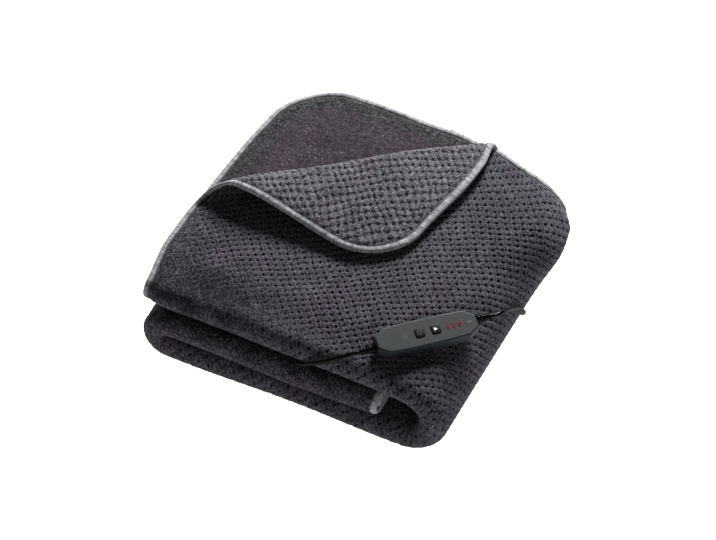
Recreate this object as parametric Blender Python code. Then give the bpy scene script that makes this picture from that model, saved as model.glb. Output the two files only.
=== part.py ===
"""A heated blanket, folded in half twice and then in three, with one corner turned back.

The cloth is drawn flat and then folded: q runs across it from the side that ends on top, s along it
from the hem that ends on top, and t out of it. +X runs along the folded front, +Y to the back, +Z up.
"""

import math

import bmesh
import bpy
import numpy as np
from mathutils import Euler, Matrix, Vector

MM = 0.001

# The cloth
WIDTH = 1284 * MM
LENGTH = 1800 * MM
CORNER_RADIUS = 85 * MM
CORNER_CUTS = 4
PLY = 8.8 * MM
PLY_GAP = 1.8 * MM
PITCH = PLY + PLY_GAP

# Its edge, pressed thin under the binding
RIM = 11 * MM
RIM_SLOPE = 3 * MM
RIM_THICKNESS = 4 * MM
BINDING_GAP = 0.4 * MM
BINDING_WALL = 1.1 * MM
BINDING_LAP = RIM - 0.5 * MM
BINDING_PROUD = 1.8 * MM

# The stack: four plies make a packet, and the packet is folded in three
PACKET_GAP = 2 * MM
PACKET = 4 * PITCH - PLY_GAP + PACKET_GAP
STACK_HEIGHT = 3 * PACKET - PACKET_GAP
BOTTOM_PANEL = 359 * MM
TOP_PANEL = BOTTOM_PANEL + PACKET
INNER_PANEL = WIDTH - TOP_PANEL - BOTTOM_PANEL - 1.5 * math.pi * PACKET
STACK_WIDTH = BOTTOM_PANEL + 2.5 * PACKET
HEM_OVERHANG = 35 * MM
PLY_WITH_HEM = (LENGTH - 2.5 * math.pi * PITCH + 2 * HEM_OVERHANG) / 4
PLY_BETWEEN = PLY_WITH_HEM - HEM_OVERHANG

# name, length, turn to the left, steps
FOLD_RUNS = (
    ("top panel", TOP_PANEL, 0, 11),
    ("right fold", math.pi * PACKET, -math.pi, 8),
    ("bottom panel", BOTTOM_PANEL, 0, 5),
    ("left fold", math.pi * PACKET / 2, -math.pi, 7),
    ("inner panel", INNER_PANEL, 0, 4),
)
PLY_RUNS = (
    ("top ply", PLY_WITH_HEM, 0, 11),
    ("outer front turn", 1.5 * math.pi * PITCH, math.pi, 7),
    ("bottom ply", PLY_BETWEEN, 0, 6),
    ("back turn", 0.5 * math.pi * PITCH, math.pi, 4),
    ("third ply", PLY_BETWEEN, 0, 6),
    ("inner front turn", 0.5 * math.pi * PITCH, -math.pi, 4),
    ("second ply", PLY_WITH_HEM, 0, 11),
)

# The corner turned back: where its crease meets the side and the hem, how round the crease is at
# each of them, how far the corner slides along it, and how far out the corner comes down
CREASE_ON_SIDE = 313 * MM
CREASE_ON_HEM = 338 * MM
CREASE_RADIUS_SIDE = 14.8 * MM
CREASE_RADIUS_HEM = 6.5 * MM
CREASE_SLIDE_SIDE = 22 * MM
CREASE_SLIDE_HEM = 6.5 * MM
CREASE_CUTS = 16
CREASE_CUT_SPREAD = 1.6
CUT_SNAP = 0.05 * MM
FLAP_FALL = 170 * MM

# How the stack has settled: distances it has moved, and the lengths over which it does
LOWER_PANELS_FORWARD = 14.4 * MM
FRONT_END_ROUNDING = 5.5 * MM
BACK_RIGHT_DRAWN_LEFT = 20 * MM
BACK_RIGHT_DRAWN_FORWARD = 25 * MM
FRONT_LEFT_DRAWN_RIGHT = 5 * MM
SKEW = 0.017
LEAN = 2.5 * MM
FRONT_DROOP = 8.2 * MM
BACK_DROOP = 3 * MM
LEFT_DROOP = 3.7 * MM
RIGHT_DROOP = 7.5 * MM
# name, height of the wave, its length
WAVES = {
    "rolls": (1.6 * MM, 310 * MM),
    "top": (1.3 * MM, 230 * MM),
}

# The handset: where it lies on the top ply, how it is turned there, and the bed it presses in the cloth
HANDSET_X, HANDSET_Y = 392.6 * MM, 66.8 * MM
HANDSET_TURN = Vector((math.radians(10.5), math.radians(4.5), math.radians(46.5)))
BED_HEIGHT = 117.6 * MM
BED_HALF_LENGTH, BED_HALF_WIDTH = 70 * MM, 20 * MM
BED_SLOPE = 34 * MM
BED_SOFTNESS = 1.5 * MM
CLEARANCE = 0.3 * MM

# Its housing, in its own frame: +X towards the mains lead, +Z out of its face
# distance along, half width there
HOUSING_OUTLINE = (
    (-72.5, 9.5), (-71, 12), (-62.5, 18), (-59, 19.4), (-24, 21.4),
    (24, 21.4), (59, 19.4), (62.5, 18), (71, 12), (72.5, 9.5),
)
BASE_HEIGHT = 8 * MM
COVER_TOP = 17 * MM
PARTING = BASE_HEIGHT + CLEARANCE
# how far inside the outline, height
BASE_RINGS = ((1.9 * MM, 0), (0.6 * MM, 0.6 * MM), (0, 2.2 * MM), (0, BASE_HEIGHT))
COVER_RINGS = ((0, PARTING), (0, COVER_TOP - 2.2 * MM), (0.7 * MM, COVER_TOP - 0.6 * MM), (2.2 * MM, COVER_TOP))

# Its buttons, each 1 mm above the cover
BUTTON_SIZE = 13.4 * MM
BUTTON_THICKNESS = 3.4 * MM
BUTTON_PROUD = 1 * MM
BUTTON_TRAVEL = 0.8 * MM
BUTTON_CORNER = 3 * MM
BUTTONS = {"power_button": -10.5 * MM, "heat_button": 12.5 * MM}

# Its row of lights, level by level
LIGHT_LENGTH, LIGHT_WIDTH, LIGHT_THICKNESS = 3.4 * MM, 8.6 * MM, 1.4 * MM
LIGHT_PROUD = 0.2 * MM
LIGHTS = {"level_light_1": 29.5 * MM, "level_light_2": 38 * MM, "level_light_3": 46.5 * MM}

# The ribbed sleeves where the cords leave it
RELIEF_LENGTH = 25 * MM
RELIEF_WIDE, RELIEF_NARROW = 4.6 * MM, 3.5 * MM
RELIEF_RIB = 0.8 * MM
RELIEF_RIBS = 4
# way along the handset, place across it, height
RELIEFS = {"blanket_cord_relief": (-1, -3 * MM, 7 * MM), "mains_lead_relief": (1, 4 * MM, 10.5 * MM)}
ROUND_SIDES = 12

# The cords
CORD_RADIUS = 2.75 * MM
CORD_POINT_SPACING = 11 * MM
CORD_STRAIGHT = 5 * MM
# x, y and height of each point of the free cords, between the fold, the handset, the coil and the plug
BLANKET_CORD = (
    (216, -17, 84.2), (232, -17.4, 84), (244, -20.6, 85.4), (254, -25, 90), (265, -25.6, 99.5),
    (278, -24.2, 107.6), (291, -20.6, 113.4), (304, -15.8, 119.5), (316, -13.6, 127.5),
)
MAINS_LEAD = (
    (466, 158, 117), (468, 176, 103), (470.5, 192, 89.5), (473.7, 204.5, 77), (474.8, 213, 65),
    (472.4, 222, 51), (469.4, 229, 38), (462.4, 235, 26), (453.4, 241.5, 15), (446, 251, 7),
    (444, 266, 3.4), (443.6, 290, 3.1), (442, 320, 3.1), (437, 356, 3.1), (428.5, 390, 3.1),
    (411, 420, 3.1), (378, 443, 3.1), (340, 455, 3.1), (300, 456, 3.1), (276, 452.6, 3.1),
    (259, 451.8, 4.3), (247.6, 454.4, 7.2), (238.1, 458.7, 9.3),
)
PLUG_TAIL = (
    (212, 457.4, 11), (198, 461, 7.2), (182, 467, 4), (164, 472.5, 3.3), (148, 475.5, 5), (134.5, 476, 6.9),
)

# The mains lead's spare length, wound into a coil held by a tie
COIL_X, COIL_Y = 225 * MM, 496 * MM
COIL_TURN_RADIUS = 29 * MM
COIL_BUNDLE = 16.5 * MM
COIL_LIFT = 1.4 * MM
COIL_CORNER = 4 * MM
COIL_SIDES = 28
TIE_WIDTH = 6 * MM
TIE_THICKNESS = 0.8 * MM
TIE_SIDE_GAP = 0.8 * MM

# The flat plug
PLUG_X, PLUG_Y = 133.9 * MM, 476 * MM
PLUG_LENGTH, PLUG_WIDTH, PLUG_HEIGHT = 36 * MM, 35 * MM, 13.7 * MM
PLUG_NECK = 14 * MM
PIN_LENGTH, PIN_RADIUS, PIN_SPACING = 19 * MM, 2 * MM, 18.6 * MM

# The middle of the cloth's box, which is the origin
CENTRE = Vector((236.6, 206.9, 0)) * MM


def eased(low, high, value):
    """0 up to low, 1 from high, and a smooth rise between."""
    share = np.clip((value - low) / (high - low), 0, 1)
    return share * share * (3 - 2 * share)


def wave(name, distance):
    height, length = WAVES[name]
    return height * np.sin(2 * math.pi * distance / length)


def walk(distance, start, heading, runs):
    """The places and the headings after those distances along straight runs and round turns."""
    x, y, heading = start[0], start[1], np.full_like(distance, heading)
    done = 0
    for number, (_, length, turn, _) in enumerate(runs):
        low = -np.inf if number == 0 else 0
        high = np.inf if number == len(runs) - 1 else length
        step = np.clip(distance - done, low, high)
        if turn:
            radius, before = length / turn, heading
            heading = before + step / radius
            x = x + radius * (np.sin(heading) - np.sin(before))
            y = y + radius * (np.cos(before) - np.cos(heading))
        else:
            x = x + step * np.cos(heading)
            y = y + step * np.sin(heading)
        done += length
    return x, y, heading


def corner_turned_back(q, s, t):
    """Where points of the top ply lie: their q, their s and their height over the ply's middle."""
    slant = math.hypot(1 / CREASE_ON_HEM, 1 / CREASE_ON_SIDE)
    across, along = 1 / CREASE_ON_HEM / slant, 1 / CREASE_ON_SIDE / slant
    past = (1 - q / CREASE_ON_HEM - s / CREASE_ON_SIDE) / slant
    foot_q, foot_s = q + past * across, s + past * along
    share = np.clip(foot_q / CREASE_ON_HEM, 0, 1)
    radius = CREASE_RADIUS_SIDE + (CREASE_RADIUS_HEM - CREASE_RADIUS_SIDE) * share
    slide = CREASE_SLIDE_SIDE + (CREASE_SLIDE_HEM - CREASE_SLIDE_SIDE) * share
    angle = np.clip(past / radius, 0, math.pi)
    slide = slide * eased(0, math.pi, angle)
    beyond = np.maximum(past - math.pi * radius, 0)
    drop = (2 * radius - PITCH) * eased(0, FLAP_FALL, beyond)
    out = beyond - (radius - t) * np.sin(angle)
    turned = (
        foot_q + out * across + slide * along,
        foot_s + out * along - slide * across,
        radius - (radius - t) * np.cos(angle) - drop,
    )
    return [np.where(past > 0, new, old) for new, old in zip(turned, (q, s, t))]


def pressed(x, y, top):
    """How far down the handset presses the top of the stack, which would be at that height."""
    roll, pitch, yaw = HANDSET_TURN
    x, y = x - HANDSET_X, y - HANDSET_Y
    along = x * math.cos(yaw) + y * math.sin(yaw)
    across = y * math.cos(yaw) - x * math.sin(yaw)
    over = top - BED_HEIGHT + along * math.tan(pitch) - across * math.tan(roll) / math.cos(pitch)
    share = 1 - eased(BED_HALF_LENGTH, BED_HALF_LENGTH + BED_SLOPE, np.abs(along))
    share = share * (1 - eased(BED_HALF_WIDTH, BED_HALF_WIDTH + BED_SLOPE, np.abs(across)))
    return share * (over + np.hypot(over, BED_SOFTNESS)) / 2


def settled(x, y, z, q):
    """The folded stack is drawn in at its corners, droops to its edges and leans over a little."""
    front, back, right = -1.5 * PITCH - PLY / 2, PLY_WITH_HEM, STACK_WIDTH
    height = np.clip(z / STACK_HEIGHT, 0, 1.2)
    y = y - LOWER_PANELS_FORWARD * eased(0.6 * TOP_PANEL, TOP_PANEL + math.pi * PACKET, q)
    y = y + FRONT_END_ROUNDING * (1 - eased(0, 50 * MM, q)) * (1 - eased(front, front + 120 * MM, y))
    y = y + wave("rolls", q)
    from_front = y - front
    at_right = eased(right - 250 * MM, right, x)
    x_after = x - BACK_RIGHT_DRAWN_LEFT * at_right * eased(back - 130 * MM, back + 20 * MM, y)
    x_after += FRONT_LEFT_DRAWN_RIGHT * (1 - eased(0, 100 * MM, from_front)) * (1 - eased(0, 200 * MM, x))
    x_after += SKEW * from_front + LEAN * height
    drawn = eased(right - 210 * MM, right - 60 * MM, x) * eased(back - 300 * MM, back, y)
    droop = (
        FRONT_DROOP * (1 - eased(0, 90 * MM, from_front))
        + BACK_DROOP * eased(back - 100 * MM, back, y)
        + LEFT_DROOP * (1 - eased(0, 90 * MM, x))
        + RIGHT_DROOP * eased(right - 120 * MM, right, x)
        + wave("top", x + 0.6 * y)
    )
    press = pressed(x, y, STACK_HEIGHT - droop)
    z = z - droop * height**2 - press * height**6
    return np.stack([x_after, y - BACK_RIGHT_DRAWN_FORWARD * drawn, z], axis=-1)


def folded(q, s, t):
    """Where points of the flat cloth lie in the stack, t over the middle of the cloth."""
    on_top = (s < PLY_WITH_HEM) & (q < TOP_PANEL)
    turned_q, turned_s, turned_t = corner_turned_back(q, s, t)
    lift = np.where(on_top, turned_t - t, 0)
    q, s = np.where(on_top, turned_q, q), np.where(on_top, turned_s, s)
    y, rise, heading = walk(s, (PLY_WITH_HEM, 1.5 * PITCH), math.pi, PLY_RUNS)
    y, rise = y + t * np.sin(heading), rise - t * np.cos(heading) + lift
    x, z, heading = walk(q, (0, 2.5 * PACKET - PACKET_GAP / 2), 0, FOLD_RUNS)
    return settled(x - rise * np.sin(heading), y, z + rise * np.cos(heading), q)


def stations(runs, margin):
    """Distances along the runs at which the cloth gets an edge, from margin to margin."""
    found, done = [], 0
    for _, length, _, steps in runs:
        found += [done + length * k / steps for k in range(steps)]
        done += length
    inside = [d for d in found if margin * 1.5 < d < done - margin * 1.5]
    return [margin, *inside, done - margin]


def nearest_within(point, inset):
    """The point of the rectangle that lies inset inside the cloth which is nearest."""
    return Vector((
        min(max(point.x, inset), WIDTH - inset),
        min(max(point.y, inset), LENGTH - inset),
        0,
    ))


def outward(point):
    """The direction out of the flat cloth at a point of its edge."""
    flat = Vector((point.x, point.y, 0))
    return (flat - nearest_within(flat, CORNER_RADIUS)).normalized()


def depth_inside(point):
    """How far inside the cloth's edge a flat point is."""
    flat = Vector((point.x, point.y, 0))
    return CORNER_RADIUS - (flat - nearest_within(flat, CORNER_RADIUS)).length


def cut(mesh, point, normal, clear=False):
    geometry = mesh.verts[:] + mesh.edges[:] + mesh.faces[:]
    bmesh.ops.bisect_plane(
        mesh, geom=geometry, dist=CUT_SNAP, plane_co=point, plane_no=normal, clear_outer=clear
    )


def widened(mesh, width):
    """Adds a strip of that width outside the mesh."""
    edges = [edge for edge in mesh.edges if edge.is_boundary]
    made = bmesh.ops.extrude_edge_only(mesh, edges=edges)["geom"]
    for vert in made:
        if isinstance(vert, bmesh.types.BMVert):
            vert.co += outward(vert.co) * width


def flat_cloth():
    """The cloth as a flat sheet, with the edges that its folds need."""
    mesh = bmesh.new()
    margin = RIM + RIM_SLOPE
    across, along = stations(FOLD_RUNS, margin), stations(PLY_RUNS, margin)
    rows = [[mesh.verts.new((q, s, 0)) for q in across] for s in along]
    for near, far in zip(rows, rows[1:]):
        for k in range(len(across) - 1):
            mesh.faces.new((near[k], near[k + 1], far[k + 1], far[k]))
    for q, q_way in ((CORNER_RADIUS, -1), (WIDTH - CORNER_RADIUS, 1)):
        for s, s_way in ((CORNER_RADIUS, -1), (LENGTH - CORNER_RADIUS, 1)):
            for k in range(CORNER_CUTS):
                angle = math.pi / 2 * (k + 0.5) / CORNER_CUTS
                way = Vector((q_way * math.cos(angle), s_way * math.sin(angle), 0))
                cut(mesh, Vector((q, s, 0)) + way * (CORNER_RADIUS - margin), way, clear=True)
    widened(mesh, RIM_SLOPE)
    widened(mesh, RIM)
    return mesh


def cut_for_crease(mesh):
    """Gives a flat mesh the edges along which its corner is turned back."""
    slant = Vector((1 / CREASE_ON_HEM, 1 / CREASE_ON_SIDE, 0))
    for k in range(CREASE_CUTS + 1):
        past = math.pi * CREASE_RADIUS_SIDE * (k / CREASE_CUTS) ** CREASE_CUT_SPREAD
        cut(mesh, Vector((CREASE_ON_HEM, 0, 0)) - past * slant.normalized(), slant)


def outline(mesh):
    """The points along the edge of a flat mesh, in order."""
    edges = {edge for edge in mesh.edges if edge.is_boundary}
    vert, loop = min((edge.verts[0] for edge in edges), key=lambda v: v.co.x + v.co.y), []
    while edges:
        loop.append(vert.co.copy())
        edge = next(edge for edge in vert.link_edges if edge in edges)
        edges.remove(edge)
        vert = edge.other_vert(vert)
    return loop


def fold(mesh):
    """Moves every vertex of a mesh drawn in flat coordinates to its place in the stack."""
    cut_for_crease(mesh)
    bmesh.ops.recalc_face_normals(mesh, faces=mesh.faces[:])
    q, s, t = np.array([vert.co for vert in mesh.verts], dtype=float).T
    for vert, place in zip(mesh.verts, folded(q, s, t)):
        vert.co = place
    bmesh.ops.reverse_faces(mesh, faces=mesh.faces[:])


def finish_solid(name, mesh, colour, roughness, parent, metallic=0):
    bmesh.ops.recalc_face_normals(mesh, faces=mesh.faces[:])
    return finish(name, mesh, colour, roughness, parent, metallic)


def finish(name, mesh, colour, roughness, parent, metallic=0):
    """Makes an object of a mesh, with its own material."""
    data = bpy.data.meshes.new(name)
    mesh.to_mesh(data)
    mesh.free()
    data.shade_smooth()
    data.set_sharp_from_angle(angle=math.radians(40))
    return link(name, data, colour, roughness, parent, metallic)


def link(name, data, colour, roughness, parent, metallic=0):
    material = bpy.data.materials.new(name)
    material.use_nodes = True
    shader = material.node_tree.nodes["Principled BSDF"]
    shader.inputs["Base Color"].default_value = (*colour, 1)
    shader.inputs["Roughness"].default_value = roughness
    shader.inputs["Metallic"].default_value = metallic
    data.materials.append(material)
    thing = bpy.data.objects.new(name, data)
    thing.parent = parent
    bpy.context.scene.collection.objects.link(thing)
    return thing


def add_empty(name, location, rotation=(0, 0, 0), parent=None):
    empty = bpy.data.objects.new(name, None)
    empty.location = location
    empty.rotation_euler = rotation
    empty.parent = parent
    bpy.context.scene.collection.objects.link(empty)
    return empty


def add_cloth(flat, parent):
    mesh = flat.copy()
    made = bmesh.ops.extrude_face_region(mesh, geom=mesh.faces[:])["geom"]
    upper = {vert for vert in made if isinstance(vert, bmesh.types.BMVert)}
    for vert in mesh.verts:
        pressed = depth_inside(vert.co) < RIM + RIM_SLOPE / 2
        half = (RIM_THICKNESS if pressed else PLY) / 2
        vert.co.z = half if vert in upper else -half
    fold(mesh)
    return finish("blanket", mesh, (0.09, 0.09, 0.1), 1, parent)


def add_binding(flat, parent):
    """The tape folded over the edge all round."""
    inner = RIM_THICKNESS / 2 + BINDING_GAP
    outer = inner + BINDING_WALL
    section = (
        (-BINDING_LAP, inner), (-BINDING_LAP, outer - 0.3 * MM), (0, outer), (BINDING_PROUD, 0),
        (0, -outer), (-BINDING_LAP, -outer + 0.3 * MM), (-BINDING_LAP, -inner),
        (BINDING_GAP, -inner), (BINDING_GAP, inner),
    )
    mesh = bmesh.new()
    rings = []
    for point in outline(flat):
        way = outward(point)
        rings.append([mesh.verts.new(point + out * way + Vector((0, 0, t))) for out, t in section])
    bridge(mesh, rings + rings[:1])
    fold(mesh)
    return finish("binding", mesh, (0.25, 0.25, 0.27), 0.8, parent)


def bridge(mesh, rings):
    """Joins rings of as many vertices each."""
    for near, far in zip(rings, rings[1:]):
        for k in range(len(near)):
            mesh.faces.new((near[k - 1], near[k], far[k], far[k - 1]))


def turned(profile, sides):
    """A solid turned about the X axis, from points along it and their radii."""
    mesh = bmesh.new()
    rings = []
    for along, radius in profile:
        ring = []
        for k in range(sides):
            angle = 2 * math.pi * k / sides
            ring.append(mesh.verts.new((along, radius * math.cos(angle), radius * math.sin(angle))))
        rings.append(ring)
    bridge(mesh, rings)
    mesh.faces.new(rings[0])
    mesh.faces.new(rings[-1])
    return mesh


def block(size, centre, corner=0, edge=0):
    """A box with its upright edges rounded to corner, and then the edges of its top to edge."""
    mesh = bmesh.new()
    bmesh.ops.create_cube(mesh, size=1)
    for vert in mesh.verts:
        vert.co = Vector([c * length + middle for c, length, middle in zip(vert.co, size, centre)])
    if corner:
        upright = [e for e in mesh.edges if abs((e.verts[0].co - e.verts[1].co).z) > size[2] / 2]
        bmesh.ops.bevel(mesh, geom=upright, offset=corner, segments=3, affect="EDGES", profile=0.5)
    if edge:
        top = [e for e in mesh.edges if all(v.co.z > centre[2] + size[2] / 2.1 for v in e.verts)]
        bmesh.ops.bevel(mesh, geom=top, offset=edge, segments=2, affect="EDGES", profile=0.5)
    return mesh


def housing_half(levels):
    """Half of the housing, from rings that lie so far inside its outline at such heights."""
    near = [Vector((x, -y, 0)) * MM for x, y in HOUSING_OUTLINE]
    corners = near + [Vector((x, y, 0)) * MM for x, y in reversed(HOUSING_OUTLINE)]
    mesh = bmesh.new()
    rings = []
    for inset, height in levels:
        ring = []
        for before, here, after in zip(corners[-1:] + corners, corners, corners[1:] + corners[:1]):
            one, two = (here - before).normalized(), (after - here).normalized()
            inward = Vector((-one.y - two.y, one.x + two.x, 0)) / (1 + one.dot(two))
            ring.append(mesh.verts.new(here + inset * inward + Vector((0, 0, height))))
        rings.append(ring)
    bridge(mesh, rings)
    mesh.faces.new(rings[0])
    mesh.faces.new(rings[-1])
    return mesh


def wells():
    """What is cut out of the cover for the buttons and the lights."""
    deep = BUTTON_THICKNESS - BUTTON_PROUD + BUTTON_TRAVEL + CLEARANCE
    size = BUTTON_SIZE + 2 * CLEARANCE
    shapes = [((size, size), x, deep) for x in BUTTONS.values()]
    deep = LIGHT_THICKNESS - LIGHT_PROUD + CLEARANCE
    size = LIGHT_LENGTH + 2 * CLEARANCE, LIGHT_WIDTH + 2 * CLEARANCE
    shapes += [(size, x, deep) for x in LIGHTS.values()]
    return shapes


def handset_place(cloth):
    """Where the handset's frame lies when its base just clears the cloth under it."""
    place = Matrix.LocRotScale((HANDSET_X, HANDSET_Y, BED_HEIGHT), Euler(HANDSET_TURN), None)
    down, highest = place.to_3x3() @ Vector((0, 0, -1)), 0
    ends, half_widths = zip(*HOUSING_OUTLINE)
    for x in np.linspace(ends[0], ends[-1], 37):
        for y in np.linspace(-1, 1, 13) * np.interp(x, ends, half_widths):
            hit, point, _, _ = cloth.ray_cast(place @ (Vector((x, y, 40)) * MM), down)
            if hit:
                highest = max(highest, (place.inverted() @ point).z)
    return place @ Matrix.Translation((0, 0, highest + CLEARANCE))


def add_handset(parent, place):
    frame = add_empty("handset", place.translation, place.to_euler(), parent)
    finish_solid("controller_base", housing_half(BASE_RINGS), (0.045, 0.055, 0.06), 0.5, frame)
    cover = finish_solid("controller_cover", housing_half(COVER_RINGS), (0.05, 0.06, 0.065), 0.45, frame)
    for number, (size, x, deep) in enumerate(wells()):
        reach = 2 * MM
        middle = COVER_TOP + (reach - deep) / 2
        corner = BUTTON_CORNER + CLEARANCE if size[0] > LIGHT_WIDTH else 0
        cutter = finish_solid(
            f"well_{number}", block((*size, deep + reach), (x, 0, middle), corner), (1, 1, 1), 1, frame
        )
        cutter.hide_render = True
        cutter.display_type = "WIRE"
        cutting = cover.modifiers.new(cutter.name, "BOOLEAN")
        cutting.operation = "DIFFERENCE"
        cutting.object = cutter
    for name, x in BUTTONS.items():
        middle = COVER_TOP + BUTTON_PROUD - BUTTON_THICKNESS / 2
        size = BUTTON_SIZE, BUTTON_SIZE, BUTTON_THICKNESS
        finish_solid(name, block(size, (x, 0, middle), BUTTON_CORNER, 0.6 * MM), (0.01, 0.01, 0.012), 0.4, frame)
    for name, x in LIGHTS.items():
        middle = COVER_TOP + LIGHT_PROUD - LIGHT_THICKNESS / 2
        size = LIGHT_LENGTH, LIGHT_WIDTH, LIGHT_THICKNESS
        finish_solid(name, block(size, (x, 0, middle), 0.6 * MM), (0.5, 0.03, 0.04), 0.3, frame)
    for name, (way, y, z) in RELIEFS.items():
        holder = add_empty(
            name + "_frame", (way * relief_start(), y, z), (0, 0, 0 if way > 0 else math.pi), frame
        )
        finish_solid(name, turned(relief_profile(), ROUND_SIDES), (0.012, 0.012, 0.013), 0.5, holder)


def relief_start():
    return HOUSING_OUTLINE[-1][0] * MM + CLEARANCE


def relief_profile():
    """Ribs on a taper, from the housing outwards."""
    step = RELIEF_LENGTH / (RELIEF_RIBS + 0.5)
    profile = []
    for k in range(RELIEF_RIBS):
        radius = RELIEF_WIDE + (RELIEF_NARROW - RELIEF_WIDE) * k / RELIEF_RIBS
        profile += [
            (k * step, radius + RELIEF_RIB), ((k + 0.45) * step, radius + RELIEF_RIB),
            ((k + 0.55) * step, radius), ((k + 0.9) * step, radius),
        ]
    return profile + [(RELIEF_LENGTH, RELIEF_NARROW)]


def smooth_route(points):
    """Evenly spaced points on a smooth curve through the given ones."""
    points = [2 * points[0] - points[1], *points, 2 * points[-1] - points[-2]]
    fine = []
    for a, b, c, d in zip(points, points[1:], points[2:], points[3:]):
        for k in range(24):
            u = k / 24
            fine.append(
                (2 * b + (c - a) * u + (2 * a - 5 * b + 4 * c - d) * u**2 + (3 * b - a - 3 * c + d) * u**3) / 2
            )
    fine = np.array([*fine, points[-2]])
    run = np.concatenate([[0], np.cumsum(np.linalg.norm(np.diff(fine, axis=0), axis=1))])
    count = max(round(run[-1] / CORD_POINT_SPACING), 2)
    even = np.linspace(0, run[-1], count + 1)
    return np.stack([np.interp(even, run, fine[:, axis]) for axis in range(3)], axis=-1)


def add_cord(name, route, parent):
    data = bpy.data.curves.new(name, "CURVE")
    data.dimensions = "3D"
    data.fill_mode = "FULL"
    data.bevel_depth = CORD_RADIUS
    data.bevel_resolution = 1
    data.use_fill_caps = True
    spline = data.splines.new("POLY")
    spline.points.add(len(route) - 1)
    for point, place in zip(spline.points, route):
        point.co = (*place, 1)
    return link(name, data, (0.01, 0.01, 0.011), 0.45, parent)


def cord_start(place, relief, further=0):
    """Where a cord leaves its strain relief, or a place further out."""
    way, y, z = RELIEFS[relief]
    return place @ Vector((way * (relief_start() + RELIEF_LENGTH + CLEARANCE + further), y, z))


def add_cords(parent, place):
    own, mains = "blanket_cord_relief", "mains_lead_relief"
    route = [*(Vector(p) * MM for p in BLANKET_CORD), cord_start(place, own, CORD_STRAIGHT)]
    add_cord("blanket_cord", [*smooth_route(route), cord_start(place, own)], parent)
    route = [cord_start(place, mains, CORD_STRAIGHT), *(Vector(p) * MM for p in MAINS_LEAD)]
    add_cord("mains_lead", [cord_start(place, mains), *smooth_route(route)], parent)
    add_cord("plug_tail", smooth_route([Vector(p) * MM for p in PLUG_TAIL]), parent)


def ring(radius, width, height, corner, sides):
    """A turned ring that lies on its side, the middle of its section at that radius."""
    mesh = bmesh.new()
    half_width, half_height = width / 2, height / 2
    section = (
        (-half_width + corner, -half_height), (half_width - corner, -half_height),
        (half_width, -half_height + corner), (half_width, half_height - corner),
        (half_width - corner, half_height), (-half_width + corner, half_height),
        (-half_width, half_height - corner), (-half_width, -half_height + corner),
    )
    rings = []
    for k in range(sides):
        angle = 2 * math.pi * k / sides
        rings.append([
            mesh.verts.new(((radius + out) * math.cos(angle), (radius + out) * math.sin(angle), z))
            for out, z in section
        ])
    bridge(mesh, rings + rings[:1])
    return mesh


def add_coil(parent):
    frame = add_empty("coil", (COIL_X, COIL_Y, COIL_LIFT + COIL_BUNDLE / 2), parent=parent)
    coil = ring(COIL_TURN_RADIUS, COIL_BUNDLE, COIL_BUNDLE, COIL_CORNER, COIL_SIDES)
    finish_solid("mains_lead_coil", coil, (0.01, 0.01, 0.011), 0.45, frame)
    mesh = bmesh.new()
    rings = []
    for out, y in ((0, -1), (TIE_THICKNESS, -1), (TIE_THICKNESS, 1), (0, 1)):
        wide, high = COIL_BUNDLE / 2 + TIE_SIDE_GAP + out, COIL_BUNDLE / 2 + CLEARANCE + out
        corners = ((-wide, -high), (wide, -high), (wide, high), (-wide, high))
        rings.append([mesh.verts.new((x - COIL_TURN_RADIUS, y * TIE_WIDTH / 2, z)) for x, z in corners])
    bridge(mesh, rings + rings[:1])
    finish_solid("cord_tie", mesh, (0.02, 0.02, 0.02), 0.6, frame)


def add_plug(parent):
    frame = add_empty("plug", (PLUG_X, PLUG_Y, PLUG_HEIGHT / 2), (0, 0, math.pi), parent)
    body = PLUG_LENGTH - PLUG_NECK
    half_width, half_height = PLUG_WIDTH / 2, PLUG_HEIGHT / 2
    # distance from the cord, half width, half height
    sections = (
        (0, 4 * MM, 4 * MM), (PLUG_NECK * 0.7, 5 * MM, 5 * MM),
        (PLUG_NECK + 4 * MM, half_width * 0.86, half_height), (PLUG_NECK + body * 0.45, half_width, half_height),
        (PLUG_LENGTH, half_width * 0.94, half_height),
    )
    mesh = bmesh.new()
    rings = []
    for along, wide, high in sections:
        corner = min(wide, high) * 0.45
        places = (
            (wide, high - corner), (wide - corner, high), (corner - wide, high), (-wide, high - corner),
            (-wide, corner - high), (corner - wide, -high), (wide - corner, -high), (wide, corner - high),
        )
        rings.append([mesh.verts.new((along, y, z)) for y, z in places])
    bridge(mesh, rings)
    mesh.faces.new(rings[0])
    mesh.faces.new(rings[-1])
    finish_solid("plug_body", mesh, (0.012, 0.012, 0.013), 0.4, frame)
    for name, way in (("plug_pin_left", 1), ("plug_pin_right", -1)):
        start = PLUG_LENGTH + CLEARANCE
        place = add_empty(name + "_frame", (start, way * PIN_SPACING / 2, 0), parent=frame)
        tip = ((0, PIN_RADIUS), (PIN_LENGTH - 1 * MM, PIN_RADIUS), (PIN_LENGTH, PIN_RADIUS * 0.6))
        finish_solid(name, turned(tip, 12), (0.6, 0.6, 0.6), 0.25, place, metallic=1)


def build():
    for thing in list(bpy.data.objects):
        bpy.data.objects.remove(thing)
    stack = add_empty("stack", -CENTRE)
    flat = flat_cloth()
    cloth = add_cloth(flat, stack)
    add_binding(flat, stack)
    flat.free()
    place = handset_place(cloth)
    add_handset(stack, place)
    add_cords(stack, place)
    add_coil(stack)
    add_plug(stack)


build()
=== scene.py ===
"""A folded heated blanket with its handset, cords and plug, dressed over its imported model.

Lengths are in metres. The cloth is drawn flat and then folded: q runs across it from the side that
ends on top, s along it from the hem that ends on top, and t out of it. +X runs along the folded
front, +Y to the back, +Z up.
"""

import math

import bmesh
import bpy
import numpy as np
from mathutils import Euler, Matrix, Vector


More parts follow.
